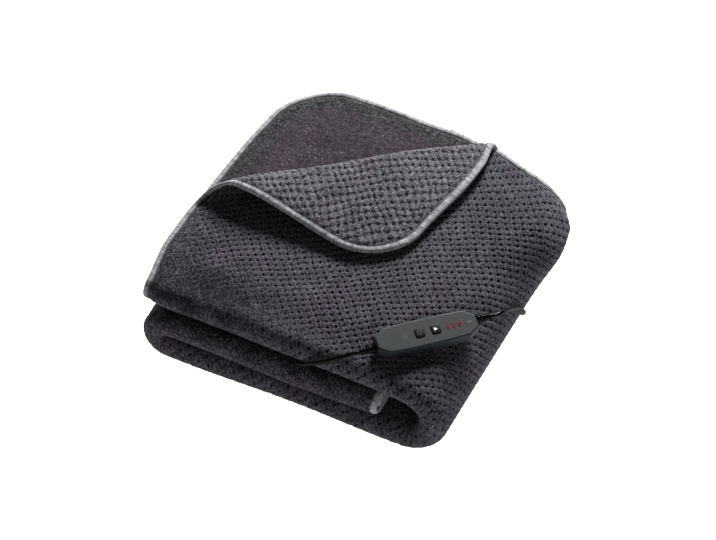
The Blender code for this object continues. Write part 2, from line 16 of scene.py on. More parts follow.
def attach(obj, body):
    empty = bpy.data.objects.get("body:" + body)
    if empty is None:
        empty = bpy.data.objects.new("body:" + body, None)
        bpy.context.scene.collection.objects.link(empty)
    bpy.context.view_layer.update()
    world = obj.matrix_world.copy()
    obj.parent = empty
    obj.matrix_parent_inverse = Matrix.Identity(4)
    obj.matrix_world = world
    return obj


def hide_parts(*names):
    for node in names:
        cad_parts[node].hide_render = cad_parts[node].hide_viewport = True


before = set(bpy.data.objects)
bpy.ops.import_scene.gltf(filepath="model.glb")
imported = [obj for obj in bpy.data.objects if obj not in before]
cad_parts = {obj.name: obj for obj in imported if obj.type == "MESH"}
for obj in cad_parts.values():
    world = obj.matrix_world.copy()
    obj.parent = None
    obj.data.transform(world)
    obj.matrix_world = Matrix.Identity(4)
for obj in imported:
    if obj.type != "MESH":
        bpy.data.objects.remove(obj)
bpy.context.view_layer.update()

MM = 0.001

# The cloth: its flat size, how thick it is, and how far apart its plies lie
WIDTH = 1284 * MM
LENGTH = 1800 * MM
CORNER_RADIUS = 85 * MM
PLY = 8.8 * MM
PLY_GAP = 1.8 * MM
PITCH = PLY + PLY_GAP

# The stack: four plies make a packet, and the packet is folded in three
PACKET_GAP = 2 * MM
PACKET = 4 * PITCH - PLY_GAP + PACKET_GAP
STACK_HEIGHT = 3 * PACKET - PACKET_GAP
BOTTOM_PANEL = 359 * MM
TOP_PANEL = BOTTOM_PANEL + PACKET
INNER_PANEL = WIDTH - TOP_PANEL - BOTTOM_PANEL - 1.5 * math.pi * PACKET
STACK_WIDTH = BOTTOM_PANEL + 2.5 * PACKET
HEM_OVERHANG = 35 * MM
PLY_WITH_HEM = (LENGTH - 2.5 * math.pi * PITCH + 2 * HEM_OVERHANG) / 4
PLY_BETWEEN = PLY_WITH_HEM - HEM_OVERHANG

RIGHT_FOLD, LEFT_FOLD = math.pi * PACKET, math.pi * PACKET / 2
# length, turn to the left
FOLD_RUNS = (
    (TOP_PANEL, 0), (RIGHT_FOLD, -math.pi), (BOTTOM_PANEL, 0), (LEFT_FOLD, -math.pi),
    (INNER_PANEL, 0),
)
FRONT_TURN, TIGHT_TURN = 1.5 * math.pi * PITCH, 0.5 * math.pi * PITCH
PLY_RUNS = (
    (PLY_WITH_HEM, 0), (FRONT_TURN, math.pi), (PLY_BETWEEN, 0), (TIGHT_TURN, math.pi),
    (PLY_BETWEEN, 0), (TIGHT_TURN, -math.pi), (PLY_WITH_HEM, 0),
)

# Where those runs begin and end: s at the front and at the back turns, q at the right fold and the
# left one
FRONT_START, FRONT_END = PLY_WITH_HEM, PLY_WITH_HEM + FRONT_TURN
BACK_START = FRONT_END + PLY_BETWEEN
BACK_END = BACK_START + TIGHT_TURN
FOLD_START, FOLD_END = TOP_PANEL, TOP_PANEL + RIGHT_FOLD
LEFT_START = FOLD_END + BOTTOM_PANEL
LEFT_END = LEFT_START + LEFT_FOLD

# The corner turned back: where its crease meets the side and the hem, how round the crease is at
# each of them, how far the corner slides along it, and how far out the corner comes down
CREASE_ON_SIDE = 313 * MM
CREASE_ON_HEM = 338 * MM
CREASE_RADIUS_SIDE = 16.5 * MM
CREASE_RADIUS_HEM = 6.5 * MM
CREASE_SLIDE_SIDE = 22 * MM
CREASE_SLIDE_HEM = 6.5 * MM
FLAP_FALL = 185 * MM

# How far the stack has settled, and how far its plush bulges or is tucked in
LOWER_PANELS_FORWARD = 14.4 * MM
FRONT_END_ROUNDING = 5.5 * MM
BACK_RIGHT_DRAWN_LEFT = 20 * MM
BACK_RIGHT_DRAWN_FORWARD = 25 * MM
FRONT_LEFT_DRAWN_RIGHT = 5 * MM
SKEW = 0.017
LEAN = 2.5 * MM
FRONT_DROOP = 8.2 * MM
BACK_DROOP = 3 * MM
LEFT_DROOP = 3.7 * MM
RIGHT_DROOP = 7.5 * MM
PLUSH_LEFT_BULGE = 7 * MM
PLUSH_RIGHT_BULGE = 22 * MM
PLUSH_BACK_RIGHT_TUCK = 7 * MM
BACK_TURN_TUCK = 13 * MM
BACK_CORNER_TUCK = 5 * MM
# name: height of the wave, its length
WAVES = {"rolls": (1.6 * MM, 310 * MM), "top": (1.3 * MM, 230 * MM)}

# The handset: where it lies on the stack, how it is turned, where that puts it from the origin, and
# the bed that it presses in the cloth
HANDSET_X, HANDSET_Y = 392.6 * MM, 66.8 * MM
HANDSET_TURN = Vector((math.radians(10.5), math.radians(4.5), math.radians(46.5)))
HANDSET_PLACE = Vector((156.441, -140.265, 119.931)) * MM
BED_HEIGHT = 117.6 * MM
BED_HALF_LENGTH, BED_HALF_WIDTH = 86 * MM, 20 * MM
BED_SLOPE = 34 * MM
BED_SOFTNESS = 1.5 * MM

# The middle of the cloth's box, which is the origin
CENTRE = np.array((236.6, 206.9, 0)) * MM

# The plush: half its thickness where it is full and where the tape presses it, and its pits, which
# lie on a lattice set cornerwise to the cloth
FULL = PLY / 2
PRESSED = 2 * MM
PIT_DEPTH = 2.0 * MM
FURROW_DEPTH = 1.0 * MM
# pits counted per metre across and along the cloth, on its outer side and on its inner one
OUTER_LATTICE = ((56, 78), (-72, 57))
INNER_LATTICE = ((55, 57), (-66, 69))

CORD_RADIUS = 2.75 * MM


# --- the fold ---


def eased(low, high, value):
    """0 up to low, 1 from high, and a smooth rise between."""
    share = np.clip((value - low) / (high - low), 0, 1)
    return share * share * (3 - 2 * share)


def faded(low, high, value):
    """1 up to low, 0 from high, and a smooth fall between."""
    return 1 - eased(low, high, value)


def wave(name, distance):
    height, length = WAVES[name]
    return height * np.sin(2 * math.pi * distance / length)


def walk(distance, start, heading, runs):
    """The places and the headings after those distances along straight runs and round turns."""
    x, y, heading = start[0], start[1], np.full_like(distance, heading)
    done = 0
    for number, (length, turn) in enumerate(runs):
        low = -np.inf if number == 0 else 0
        high = np.inf if number == len(runs) - 1 else length
        step = np.clip(distance - done, low, high)
        if turn:
            radius, before = length / turn, heading
            heading = before + step / radius
            x = x + radius * (np.sin(heading) - np.sin(before))
            y = y + radius * (np.cos(before) - np.cos(heading))
        else:
            x = x + step * np.cos(heading)
            y = y + step * np.sin(heading)
        done += length
    return x, y, heading


def past_crease(q, s):
    """How far beyond the crease flat points of the top ply lie."""
    slant = math.hypot(1 / CREASE_ON_HEM, 1 / CREASE_ON_SIDE)
    return (1 - q / CREASE_ON_HEM - s / CREASE_ON_SIDE) / slant


def corner_turned_back(q, s, t):
    """Where points of the top ply lie: their q, their s and their height over the ply's middle."""
    slant = math.hypot(1 / CREASE_ON_HEM, 1 / CREASE_ON_SIDE)
    across, along = 1 / CREASE_ON_HEM / slant, 1 / CREASE_ON_SIDE / slant
    past = past_crease(q, s)
    foot_q, foot_s = q + past * across, s + past * along
    share = np.clip(foot_q / CREASE_ON_HEM, 0, 1)
    radius = CREASE_RADIUS_SIDE + (CREASE_RADIUS_HEM - CREASE_RADIUS_SIDE) * share
    slide = CREASE_SLIDE_SIDE + (CREASE_SLIDE_HEM - CREASE_SLIDE_SIDE) * share
    angle = np.clip(past / radius, 0, math.pi)
    slide = slide * eased(0, math.pi, angle)
    beyond = np.maximum(past - math.pi * radius, 0)
    drop = (2 * radius - PITCH) * eased(0, FLAP_FALL, beyond)
    out = beyond - (radius - t) * np.sin(angle)
    turned = (
        foot_q + out * across + slide * along,
        foot_s + out * along - slide * across,
        radius - (radius - t) * np.cos(angle) - drop,
    )
    return [np.where(past > 0, new, old) for new, old in zip(turned, (q, s, t))]


def pressed(x, y, top):
    """How far down the handset presses the top of the stack, which would be at that height."""
    roll, pitch, yaw = HANDSET_TURN
    x, y = x - HANDSET_X, y - HANDSET_Y
    along = x * math.cos(yaw) + y * math.sin(yaw)
    across = y * math.cos(yaw) - x * math.sin(yaw)
    over = top - BED_HEIGHT + along * math.tan(pitch) - across * math.tan(roll) / math.cos(pitch)
    share = faded(BED_HALF_LENGTH, BED_HALF_LENGTH + BED_SLOPE, np.abs(along))
    share = share * faded(BED_HALF_WIDTH, BED_HALF_WIDTH + BED_SLOPE, np.abs(across))
    return share * (over + np.hypot(over, BED_SOFTNESS)) / 2


def settled(x, y, z, q):
    """The folded stack is drawn in at its corners, droops to its edges and leans over a little."""
    front, back, right = -1.5 * PITCH - PLY / 2, PLY_WITH_HEM, STACK_WIDTH
    height = np.clip(z / STACK_HEIGHT, 0, 1.2)
    y = y - LOWER_PANELS_FORWARD * eased(0.6 * TOP_PANEL, TOP_PANEL + math.pi * PACKET, q)
    y = y + FRONT_END_ROUNDING * faded(0, 50 * MM, q) * faded(front, front + 120 * MM, y)
    y = y + wave("rolls", q)
    from_front = y - front
    at_right = eased(right - 250 * MM, right, x)
    upper = eased(0.3, 0.8, height)
    x_after = x - BACK_RIGHT_DRAWN_LEFT * at_right * eased(back - 130 * MM, back + 20 * MM, y)
    x_after += FRONT_LEFT_DRAWN_RIGHT * faded(0, 100 * MM, from_front) * faded(0, 200 * MM, x)
    x_after += SKEW * from_front + LEAN * height
    at_left = faded(0, 160 * MM, x) * eased(0, 110 * MM, from_front)
    at_left = at_left * faded(back - 270 * MM, back - 70 * MM, y)
    x_after -= PLUSH_LEFT_BULGE * at_left * eased(0.6, 0.9, height)
    bulge = eased(back - 230 * MM, back - 90 * MM, y)
    bulge = bulge * (1 - 0.8 * eased(back - 60 * MM, back - 5 * MM, y))
    x_after += PLUSH_RIGHT_BULGE * at_right * bulge * upper
    drawn = eased(right - 210 * MM, right - 60 * MM, x) * eased(back - 300 * MM, back, y)
    droop = (
        FRONT_DROOP * faded(0, 90 * MM, from_front)
        + BACK_DROOP * eased(back - 100 * MM, back, y)
        + LEFT_DROOP * faded(0, 90 * MM, x)
        + RIGHT_DROOP * eased(right - 120 * MM, right, x)
        + wave("top", x + 0.6 * y)
    )
    press = pressed(x, y, STACK_HEIGHT - droop)
    z = z - droop * height**2 - press * height**6
    tucked = at_right**2 * eased(back - 70 * MM, back, y) * upper
    y = y - BACK_RIGHT_DRAWN_FORWARD * drawn - PLUSH_BACK_RIGHT_TUCK * tucked
    return np.stack([x_after, y, z], axis=-1)


def folded(q, s, t):
    """Where points of the flat cloth lie, t over the middle of the cloth."""
    on_top = (s < PLY_WITH_HEM) & (q < TOP_PANEL)
    turned_q, turned_s, turned_t = corner_turned_back(q, s, t)
    lift = np.where(on_top, turned_t - t, 0)
    q, s = np.where(on_top, turned_q, q), np.where(on_top, turned_s, s)
    y, rise, heading = walk(s, (PLY_WITH_HEM, 1.5 * PITCH), math.pi, PLY_RUNS)
    y, rise = y + t * np.sin(heading), rise - t * np.cos(heading) + lift
    x, z, heading = walk(q, (0, 2.5 * PACKET - PACKET_GAP / 2), 0, FOLD_RUNS)
    turn = BACK_START + TIGHT_TURN / 2
    x = x + BACK_TURN_TUCK * faded(0, 90 * MM, np.abs(s - turn)) * faded(0, 80 * MM, q)
    tuck = BACK_CORNER_TUCK * faded(0, 130 * MM, q) * eased(LENGTH - 160 * MM, LENGTH - 20 * MM, s)
    x, y = x + tuck, y - tuck
    return settled(x - rise * np.sin(heading), y, z + rise * np.cos(heading), q) - CENTRE


def nearest(q, s):
    """The places between the middles of the cloth's corners that are nearest to flat points."""
    reach_q, reach_s = WIDTH - CORNER_RADIUS, LENGTH - CORNER_RADIUS
    return np.clip(q, CORNER_RADIUS, reach_q), np.clip(s, CORNER_RADIUS, reach_s)


def rounded(q, s, inset):
    """Brings a grid on the cloth, whose edge lies so far inside the cloth's, round its corners."""
    reach = CORNER_RADIUS - inset
    near_q, near_s = nearest(q, s)
    u, v = (q - near_q) / reach, (s - near_s) / reach
    return near_q + reach * u * np.sqrt(1 - v * v / 2), near_s + reach * v * np.sqrt(1 - u * u / 2)


def depth_inside(q, s):
    """How far inside the cloth's edge flat points are, up to the corners' radius."""
    near_q, near_s = nearest(q, s)
    return CORNER_RADIUS - np.hypot(q - near_q, s - near_s)


# --- making pieces ---


def finish_piece(thing, finish, replaces=(), place=None, body="root"):
    """Gives a piece its material and says where it is and what it rides on and stands for."""
    thing.data.materials.append(FINISHES[finish])
    if place is not None:
        thing.matrix_world = place
    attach(thing, body)
    if replaces:
        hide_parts(*replaces)
    return thing


def in_metres(pairs):
    return [(a * MM, b * MM) for a, b in pairs]


def run_along(points):
    """How far along a line each of its points is."""
    return np.concatenate([[0], np.cumsum(np.linalg.norm(np.diff(points, axis=0), axis=1))])


def add_piece(name, data):
    thing = bpy.data.objects.new(name, data)
    bpy.context.scene.collection.objects.link(thing)
    return thing


def add_mesh(name, places, faces, maps, normals=None):
    """A smooth mesh. maps holds, by name, two numbers for each vertex, for its finish."""
    data = bpy.data.meshes.new(name)
    data.from_pydata(places.tolist(), [], faces.tolist())
    data.shade_smooth()
    corners = np.empty(len(data.loops), dtype=np.int32)
    data.loops.foreach_get("vertex_index", corners)
    for kind, pair in maps.items():
        layer = data.uv_layers.new(name=kind)
        layer.data.foreach_set("uv", pair[corners].ravel())
    if normals is not None:
        data.normals_split_custom_set_from_vertices(normals)
    return add_piece(name, data)


def grid_faces(rows, columns, reverse=False):
    """The quads of a grid of vertices."""
    first = (np.arange(rows - 1)[:, None] * columns + np.arange(columns - 1)).ravel()
    quads = np.stack([first, first + 1, first + columns + 1, first + columns], axis=-1)
    return quads[:, ::-1] if reverse else quads


def lofted(name, rings, joined=False, sharp=40):
    """A piece through rings of as many points each. Its ends are filled unless they are joined."""
    count, last = len(rings[0]), len(rings) - 1
    pairs = [(k, k + 1) for k in range(last)] + ([(last, 0)] if joined else [])
    faces = [
        (a * count + k, a * count + (k + 1) % count, b * count + (k + 1) % count, b * count + k)
        for a, b in pairs for k in range(count)
    ]
    if not joined:
        faces += [tuple(range(count)), tuple(last * count + k for k in range(count))]
    mesh = bmesh.new()
    verts = [mesh.verts.new([float(c) for c in point]) for ring in rings for point in ring]
    for face in faces:
        mesh.faces.new([verts[k] for k in face])
    bmesh.ops.recalc_face_normals(mesh, faces=mesh.faces[:])
    data = bpy.data.meshes.new(name)
    mesh.to_mesh(data)
    mesh.free()
    data.shade_smooth()
    data.set_sharp_from_angle(angle=math.radians(sharp))
    return add_piece(name, data)


def turned(name, profile, sides, sharp):
    """A piece turned about X, from (distance along, radius)."""
    angles = [2 * math.pi * k / sides for k in range(sides)]
    rings = [[(x, r * math.cos(a), r * math.sin(a)) for a in angles] for x, r in profile]
    return lofted(name, rings, sharp=sharp)


def with_neighbours(loop):
    """Each point of a closed outline between the ones before and after it."""
    return zip(loop[-1:] + loop[:-1], loop, loop[1:] + loop[:1])


def rounded_loop(corners, radius, steps=6):
    """The points of a convex outline whose corners are rounded."""
    loop = []
    for before, here, after in with_neighbours(corners):
        here = Vector(here)
        one, two = (Vector(before) - here), (Vector(after) - here)
        reach = min(radius / math.tan(one.angle(two) / 2), 0.48 * one.length, 0.48 * two.length)
        start, end = here + one.normalized() * reach, here + two.normalized() * reach
        for k in range(steps + 1):
            u = k / steps
            loop.append((1 - u) ** 2 * start + 2 * u * (1 - u) * here + u * u * end)
    return loop


def inset(corners, distance):
    """An outline that lies so far inside a convex one drawn anticlockwise."""
    moved = []
    for before, here, after in with_neighbours(corners):
        here = Vector(here)
        one, two = (here - Vector(before)).normalized(), (Vector(after) - here).normalized()
        moved.append(here + distance * Vector((-one.y - two.y, one.x + two.x)) / (1 + one.dot(two)))
    return moved


def applied(thing):
    """Works out a piece's modifiers and keeps the result as its mesh."""
    bpy.context.view_layer.update()
    graph = bpy.context.evaluated_depsgraph_get()
    data = bpy.data.meshes.new_from_object(thing.evaluated_get(graph))
    thing.modifiers.clear()
    thing.data = data
    return thing


def evened(thing):
    """Lets the large faces of a piece look flat."""
    thing.modifiers.new("even", "WEIGHTED_NORMAL").keep_sharp = True
    return applied(thing)


# --- camera and lights ---

CAMERA_SIDE, CAMERA_RISE = math.radians(26.03), math.radians(47.74)
CAMERA_TARGET = Vector((0.2225, 0.211, 0.057)) - Vector(CENTRE)
CAMERA_DISTANCE = 3.908
CAMERA_LENS = 140.45
# how far across and above the target the camera's axis passes, in pixels, and their size there
AXIS_OFF_CENTRE = (-0.46, 13.93)
PIXELS_PER_METRE = 714.8


def add_camera():
    data = bpy.data.cameras.new("camera")
    data.lens = CAMERA_LENS
    data.sensor_width = 36
    camera = bpy.data.objects.new("camera", data)
    bpy.context.scene.collection.objects.link(camera)
    level = math.cos(CAMERA_RISE)
    sine, cosine = math.sin(CAMERA_SIDE), math.cos(CAMERA_SIDE)
    back = Vector((sine * level, -cosine * level, math.sin(CAMERA_RISE)))
    right = Vector((cosine, sine, 0))
    up = back.cross(right)
    across, above = (pixels / PIXELS_PER_METRE for pixels in AXIS_OFF_CENTRE)
    camera.location = CAMERA_TARGET + back * CAMERA_DISTANCE
    aim = CAMERA_TARGET - across * right - above * up
    camera.rotation_euler = (camera.location - aim).to_track_quat("Z", "Y").to_euler()
    bpy.context.scene.camera = camera


add_camera()


def add_light(name, place, aim, size, power):
    data = bpy.data.lights.new(name, "AREA")
    data.shape = "DISK"
    data.size = size
    data.energy = power
    light = bpy.data.objects.new(name, data)
    light.location = place
    light.rotation_euler = (Vector(place) - Vector(aim)).to_track_quat("Z", "Y").to_euler()
    bpy.context.scene.collection.objects.link(light)


# --- finishes ---


class Wire:
    """A number that varies over a surface. Expressions on it add the nodes that work them out."""

    def __init__(self, finish, socket):
        self.finish, self.socket = finish, socket

    def maths(self, operation, *values):
        return self.finish.node("Math", {"operation": operation}, dict(enumerate(values)))

    def __add__(self, other):
        return self.maths("ADD", self, other)

    def __sub__(self, other):
        return self.maths("SUBTRACT", self, other)

    def __rsub__(self, other):
        return self.maths("SUBTRACT", other, self)

    def __mul__(self, other):
        return self.maths("MULTIPLY", self, other)

    def __pow__(self, other):
        return self.maths("POWER", self, other)

    __radd__, __rmul__ = __add__, __mul__

    def over(self, low, high):
        """0 below low, 1 above high, and a smooth rise between."""
        settings = {"interpolation_type": "SMOOTHSTEP"}
        sockets = {"Value": self, "From Min": low, "From Max": high}
        return self.finish.node("MapRange", settings, sockets)

    def off_whole(self):
        """How far the number is from the nearest whole one."""
        return self.maths("PINGPONG", self, 0.5)


class Finish:
    """A material in the making."""

    def __init__(self, name, **shader):
        self.material = bpy.data.materials.new(name)
        self.material.use_nodes = True
        self.nodes = self.material.node_tree.nodes
        self.links = self.material.node_tree.links
        self.shader = self.nodes["Principled BSDF"]
        self.set(**shader)

    def feed(self, socket, value):
        if isinstance(value, Wire):
            self.links.new(value.socket, socket)
        elif isinstance(value, tuple) and len(value) == 3 and socket.type == "RGBA":
            socket.default_value = (*value, 1)
        else:
            socket.default_value = value

    def node(self, kind, settings=(), sockets=(), output=0):
        """A node's output, by its number or its name."""
        made = self.nodes.new("ShaderNode" + kind)
        for name, value in dict(settings).items():
            setattr(made, name, value)
        usable = [socket for socket in made.inputs if socket.enabled]
        named = {socket.name: socket for socket in reversed(usable)}
        for key, value in dict(sockets).items():
            self.feed(usable[key] if isinstance(key, int) else named[key], value)
        outputs = [socket for socket in made.outputs if socket.enabled]
        return Wire(self, outputs[output] if isinstance(output, int) else made.outputs[output])

    def mixed(self, share, low, high):
        """A colour between two."""
        return self.node("Mix", {"data_type": "RGBA"}, {"Factor": share, "A": low, "B": high})

    def map(self, name):
        """The two numbers that a map of the mesh holds."""
        place = self.node("UVMap", {"uv_map": name})
        return [self.node("SeparateXYZ", (), {0: place}, axis) for axis in "XY"]

    def place(self):
        """The place in the object, in metres."""
        return self.node("TexCoord", output="Object")

    def noise(self, vector, scale, detail, roughness):
        sockets = {"Vector": vector, "Scale": scale, "Detail": detail, "Roughness": roughness}
        return self.node("TexNoise", (), sockets)

    def bump(self, height, distance, strength):
        sockets = {"Height": height, "Distance": distance, "Strength": strength}
        return self.node("Bump", (), sockets)

    def joined(self, x, y):
        return self.node("CombineXYZ", (), {"X": x, "Y": y})

    def set(self, **shader):
        """Sets the shader's sockets, named in lower case, and gives the material."""
        for name, value in shader.items():
            name = name.replace("_", " ").title().replace("Ior", "IOR")
            self.feed(self.shader.inputs[name], value)
        return self.material


# pit is the near-black colour painted into the pits as shade, and the share after it says how much
# of it is mixed in
def plush(name, ground, fuzz, pit, pit_shade_share, domed=False, lint_share=0.15, blotches=0.0):
    """Dimpled plush: its cloth map counts pits, and a pit lies wherever both numbers are whole.

    Where it has blotches, it also has a coarser, greener band beside the tape."""
    finish = Finish(name, roughness=1.0, sheen_weight=0.05, sheen_roughness=0.5)
    finish.set(sheen_tint=(0.8, 0.8, 0.84), specular_ior_level=0.05)
    across, along = finish.map("cloth")
    brushed_and_shaded, border = finish.map("pile")
    width, length = finish.map("flat")
    where = finish.place()
    patches = finish.noise(where, 30, 3, 0.6)
    tufts = finish.noise(where, 750, 2, 0.7)
    clumps = finish.noise(where, 300, 2, 0.6)
    combed = finish.noise(finish.joined(width, length * 0.2), 480, 3, 0.65)
    rows = across.off_whole() + (clumps - 0.5) * 0.28
    files = along.off_whole() + (tufts - 0.5) * 0.2
    hollow = 1 - (((rows * 1.12) ** 2 + (files * 0.95) ** 2) ** 0.5).over(0.1, 0.32)
    # painted shade: the pile is darkened in the furrows between the tufts, and between the domes
    # where the plush is domed
    if domed:
        furrow_shade = (1 - rows.over(0.0, 0.42) * files.over(0.0, 0.42)) * 0.5
    else:
        furrow_shade = (1 - rows.over(0.0, 0.2)) * 0.12 + (1 - files.over(0.0, 0.14)) * 0.25
        furrow_shade = furrow_shade + files.over(0.36, 0.5) * 0.45
    furrow_shade = furrow_shade * (1 - brushed_and_shaded * 0.6) * (0.4 * pit_shade_share)
    light = tufts * 2.2 + clumps * 1.8 + patches * 0.4 - furrow_shade - 1.7
    # painted shade: where the pile lies flat, over the front, the rolls and the left end, the plush
    # is darkened
    light = light + brushed_and_shaded * (combed * 1.8 + patches * 0.8 - 1.52)
    tint = finish.noise(where, 13, 2, 0.6).over(0.5, 0.72) * 0.8
    tint = finish.mixed(tint, (1, 1, 1), (1.1, 0.9, 1.03))
    if blotches:
        streaks = finish.noise(finish.joined(width * 0.35, length), 190, 3, 0.7)
        light = light + border * (clumps * 1.6 - 0.85) + (streaks - 0.5) * blotches
        tint = finish.mixed(border, tint, (0.95, 1.12, 1.0))
    colour = finish.mixed(light.over(0.0, 1.0), ground, fuzz)
    fickle = finish.noise(where, 120, 2, 0.6).over(0.34, 0.56) * 0.65 + 0.35
    # painted shade: the pits are mixed towards the near-black pit colour
    colour = finish.mixed(hollow * (1 - brushed_and_shaded * 0.75) * fickle * pit_shade_share, colour, pit)
    spots = finish.node("TexVoronoi", (), {"Vector": where, "Scale": 160.0})
    lint = 1 - spots.over(0.08, 0.22)
    lint = lint * patches.over(0.4, 0.6) * (brushed_and_shaded * 0.4 + lint_share)
    colour = finish.mixed(lint * 0.55, colour, LINT)
    colour = finish.node("VectorMath", {"operation": "MULTIPLY"}, {0: colour, 1: tint})
    nap = tufts * 0.6 + clumps * 0.4 + combed * brushed_and_shaded * 0.6
    return finish.set(base_color=colour, normal=finish.bump(nap, 1.8 * MM, 0.9))


def moulded(name, colour, roughness, grain=0.03 * MM, **shader):
    """Moulded plastic with a fine grain, rubbed a little smoother in places."""
    finish = Finish(name, **shader)
    where = finish.place()
    rubbed = finish.noise(where, 55, 3, 0.6)
    darker, lighter = (tuple(c * share for c in colour) for share in (0.8, 1.2))
    finish.set(base_color=finish.mixed(rubbed.over(0.3, 0.7), darker, lighter))
    finish.set(roughness=rubbed * 0.2 + (roughness - 0.1))
    return finish.set(normal=finish.bump(finish.noise(where, 2400, 2, 0.6), grain, 0.7))


def satin(name, dark, light):
    """Woven tape, ribbed across, gathered in small puckers and sewn along its inner edge."""
    finish = Finish(name, sheen_weight=0.05, specular_ior_level=0.15, roughness=0.7)
    run, out = finish.map("tape")
    puckers = finish.noise(finish.joined(run, out * 0.3), 210, 3, 0.6)
    fibres = finish.noise(finish.place(), 900, 2, 0.7)
    ribs = (run * 1100).off_whole()
    from_seam = out + SEAM_INSIDE
    seam_and_shade = 1 - from_seam.maths("ABSOLUTE", from_seam).over(0.6 * MM, 1.3 * MM)
    thread = seam_and_shade * (run * 290).off_whole().over(0.06, 0.12)
    # painted highlight: the out term makes the tape lighter towards its outer edge
    shade = puckers * 1.5 + fibres * 1.2 + ribs * 0.3 + out * 25 - 0.87
    colour = finish.mixed(shade.over(0.0, 1.0), dark, light)
    # painted shade: the groove of the seam is made near black
    colour = finish.mixed(seam_and_shade * 0.9, colour, tuple(c * 0.12 for c in dark))
    colour = finish.mixed(thread * 0.5, colour, dark)
    height = puckers * 0.7 + ribs * 0.12 + fibres * 0.15 - seam_and_shade * 0.4 + thread * 0.25
    return finish.set(base_color=colour, normal=finish.bump(height, 1.2 * MM, 0.9))


# how far inside the cloth's edge the seam runs on the tape
SEAM_INSIDE = 7.2 * MM
# the colour of the pale lint on the plush
LINT = (0.22, 0.213, 0.23)
# a thin shine that stays weak at the cords' edges
SHINE = {"specular_ior_level": 0.0, "coat_weight": 0.11, "coat_roughness": 0.14}
# each plush has its ground, its fuzz, the near-black colour of the painted shade in its pits, and
# the share of that shade
FINISHES = {
    "plush": plush(
        "plush", (0.0058, 0.0054, 0.0072), (0.079, 0.0755, 0.089), (0.0006, 0.0006, 0.0007), 1.0
    ),
    "plush flap": plush(
        "plush flap", (0.0115, 0.011, 0.013), (0.143, 0.139, 0.155), (0.0012, 0.0012, 0.0013), 0.95,
        domed=True,
    ),
    "plush inside": plush(
        "plush inside", (0.0045, 0.0035, 0.0044), (0.044, 0.0345, 0.043), (0.003, 0.0025, 0.003),
        0.2, lint_share=1.0, blotches=1.3,
    ),
    "satin": satin("satin tape", (0.045, 0.044, 0.048), (0.265, 0.26, 0.281)),
    "housing": moulded("housing", (0.0052, 0.0078, 0.0097), 0.62, specular_ior_level=0.16),
    "button": moulded("button", (0.0018, 0.0024, 0.0028), 0.45, specular_ior_level=0.06),
    "light": moulded("light", (0.16, 0.008, 0.012), 0.3, specular_ior_level=0.3),
    "mark": moulded("mark", (0.75, 0.75, 0.75), 0.5),
    "faint mark": moulded("faint mark", (0.04, 0.043, 0.046), 0.5, specular_ior_level=0.3),
    "strap": moulded("strap", (0.008, 0.008, 0.0085), 0.75, 0.12 * MM, specular_ior_level=0.2),
    "jacket": moulded("cord jacket", (0.0022, 0.0022, 0.0024), 0.4, 0.01 * MM, **SHINE),
    "sleeve": moulded("cord sleeve", (0.0022, 0.0021, 0.0024), 0.5, 0.02 * MM, **SHINE),
    "pin metal": moulded("pin metal", (0.5, 0.5, 0.5), 0.3, 0.01 * MM, metallic=1.0),
}

for node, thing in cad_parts.items():
    kind = (
        "plush" if node == "blanket" else "satin" if node == "binding"
        else "housing" if node.startswith("controller") else "light" if node.startswith("level")
        else "button" if "button" in node else "pin metal" if "pin" in node else "jacket"
    )
    thing.data.materials.clear()
    thing.data.materials.append(FINISHES[kind])


# --- the cords ---


def smooth_curve(name, points):
    """A cord on one smooth curve through those points."""
    data = bpy.data.curves.new(name, "CURVE")
    data.dimensions = "3D"
    data.fill_mode = "FULL"
    data.resolution_u = 5
    data.bevel_depth = CORD_RADIUS
    data.bevel_resolution = 4
    data.use_fill_caps = True
    spline = data.splines.new("BEZIER")
    spline.bezier_points.add(len(points) - 1)
    before = [2 * points[0] - points[1], *points[:-1]]
    after = [*points[1:], 2 * points[-1] - points[-2]]
    for knot, a, b, c in zip(spline.bezier_points, before, points, after):
        knot.handle_left_type = knot.handle_right_type = "FREE"
        knot.co, knot.handle_left, knot.handle_right = b, b - (c - a) / 6, b + (c - a) / 6
    return add_piece(name, data)


HANDSET = Matrix.LocRotScale(HANDSET_PLACE, Euler(HANDSET_TURN), None)
# way along the handset, place across it, height
RELIEFS = {
    "blanket_cord_relief": (-1, -3 * MM, 7 * MM),
    "mains_lead_relief": (1, 4 * MM, 10.5 * MM),
}
RELIEF_START = 72.8 * MM
RELIEF_LENGTH = 25 * MM
CORD_STRAIGHT = 5 * MM
BLANKET_CORD = (
    (216, -13, 84), (232, -15.5, 84), (244, -20.5, 85.3), (255, -24.8, 90.3), (266.3, -26.6, 99.2),
    (278.9, -26.6, 109.1), (292.8, -24.5, 117.6), (306.4, -20.6, 125.4), (316.5, -17, 131.6),
)
MAINS_LEAD = (
    (467.4, 153.5, 119.6), (469.6, 166.5, 110.6), (470.4, 180, 99.5), (471.4, 193, 88),
    (473.3, 204.5, 77), (474.2, 213.3, 65), (471.8, 223, 51), (468.2, 231.5, 38),
    (462.6, 239.8, 26.3), (456.2, 248.3, 15.8), (450.4, 259.3, 8.5), (446.7, 273.5, 4.4),
    (444.6, 290, 3.1), (442, 320, 3.1), (437, 356, 3.1), (428.5, 390, 3.1),
    (411, 420, 3.1), (378, 443, 3.1), (340, 455, 3.1), (300, 456, 3.1),
    (276, 452.6, 3.1), (259, 451.8, 4.3), (247.6, 454.6, 7.2), (237.5, 459, 9.4),
)
PLUG_TAIL = (
    (212, 457.4, 11), (198, 461, 7.2), (182, 467, 4), (164, 472.5, 3.3), (148, 475.5, 5),
    (134.5, 476, 6.9),
)
COIL_X, COIL_Y, COIL_Z = 225 * MM, 496 * MM, 9.65 * MM
COIL_RADIUS = 29 * MM
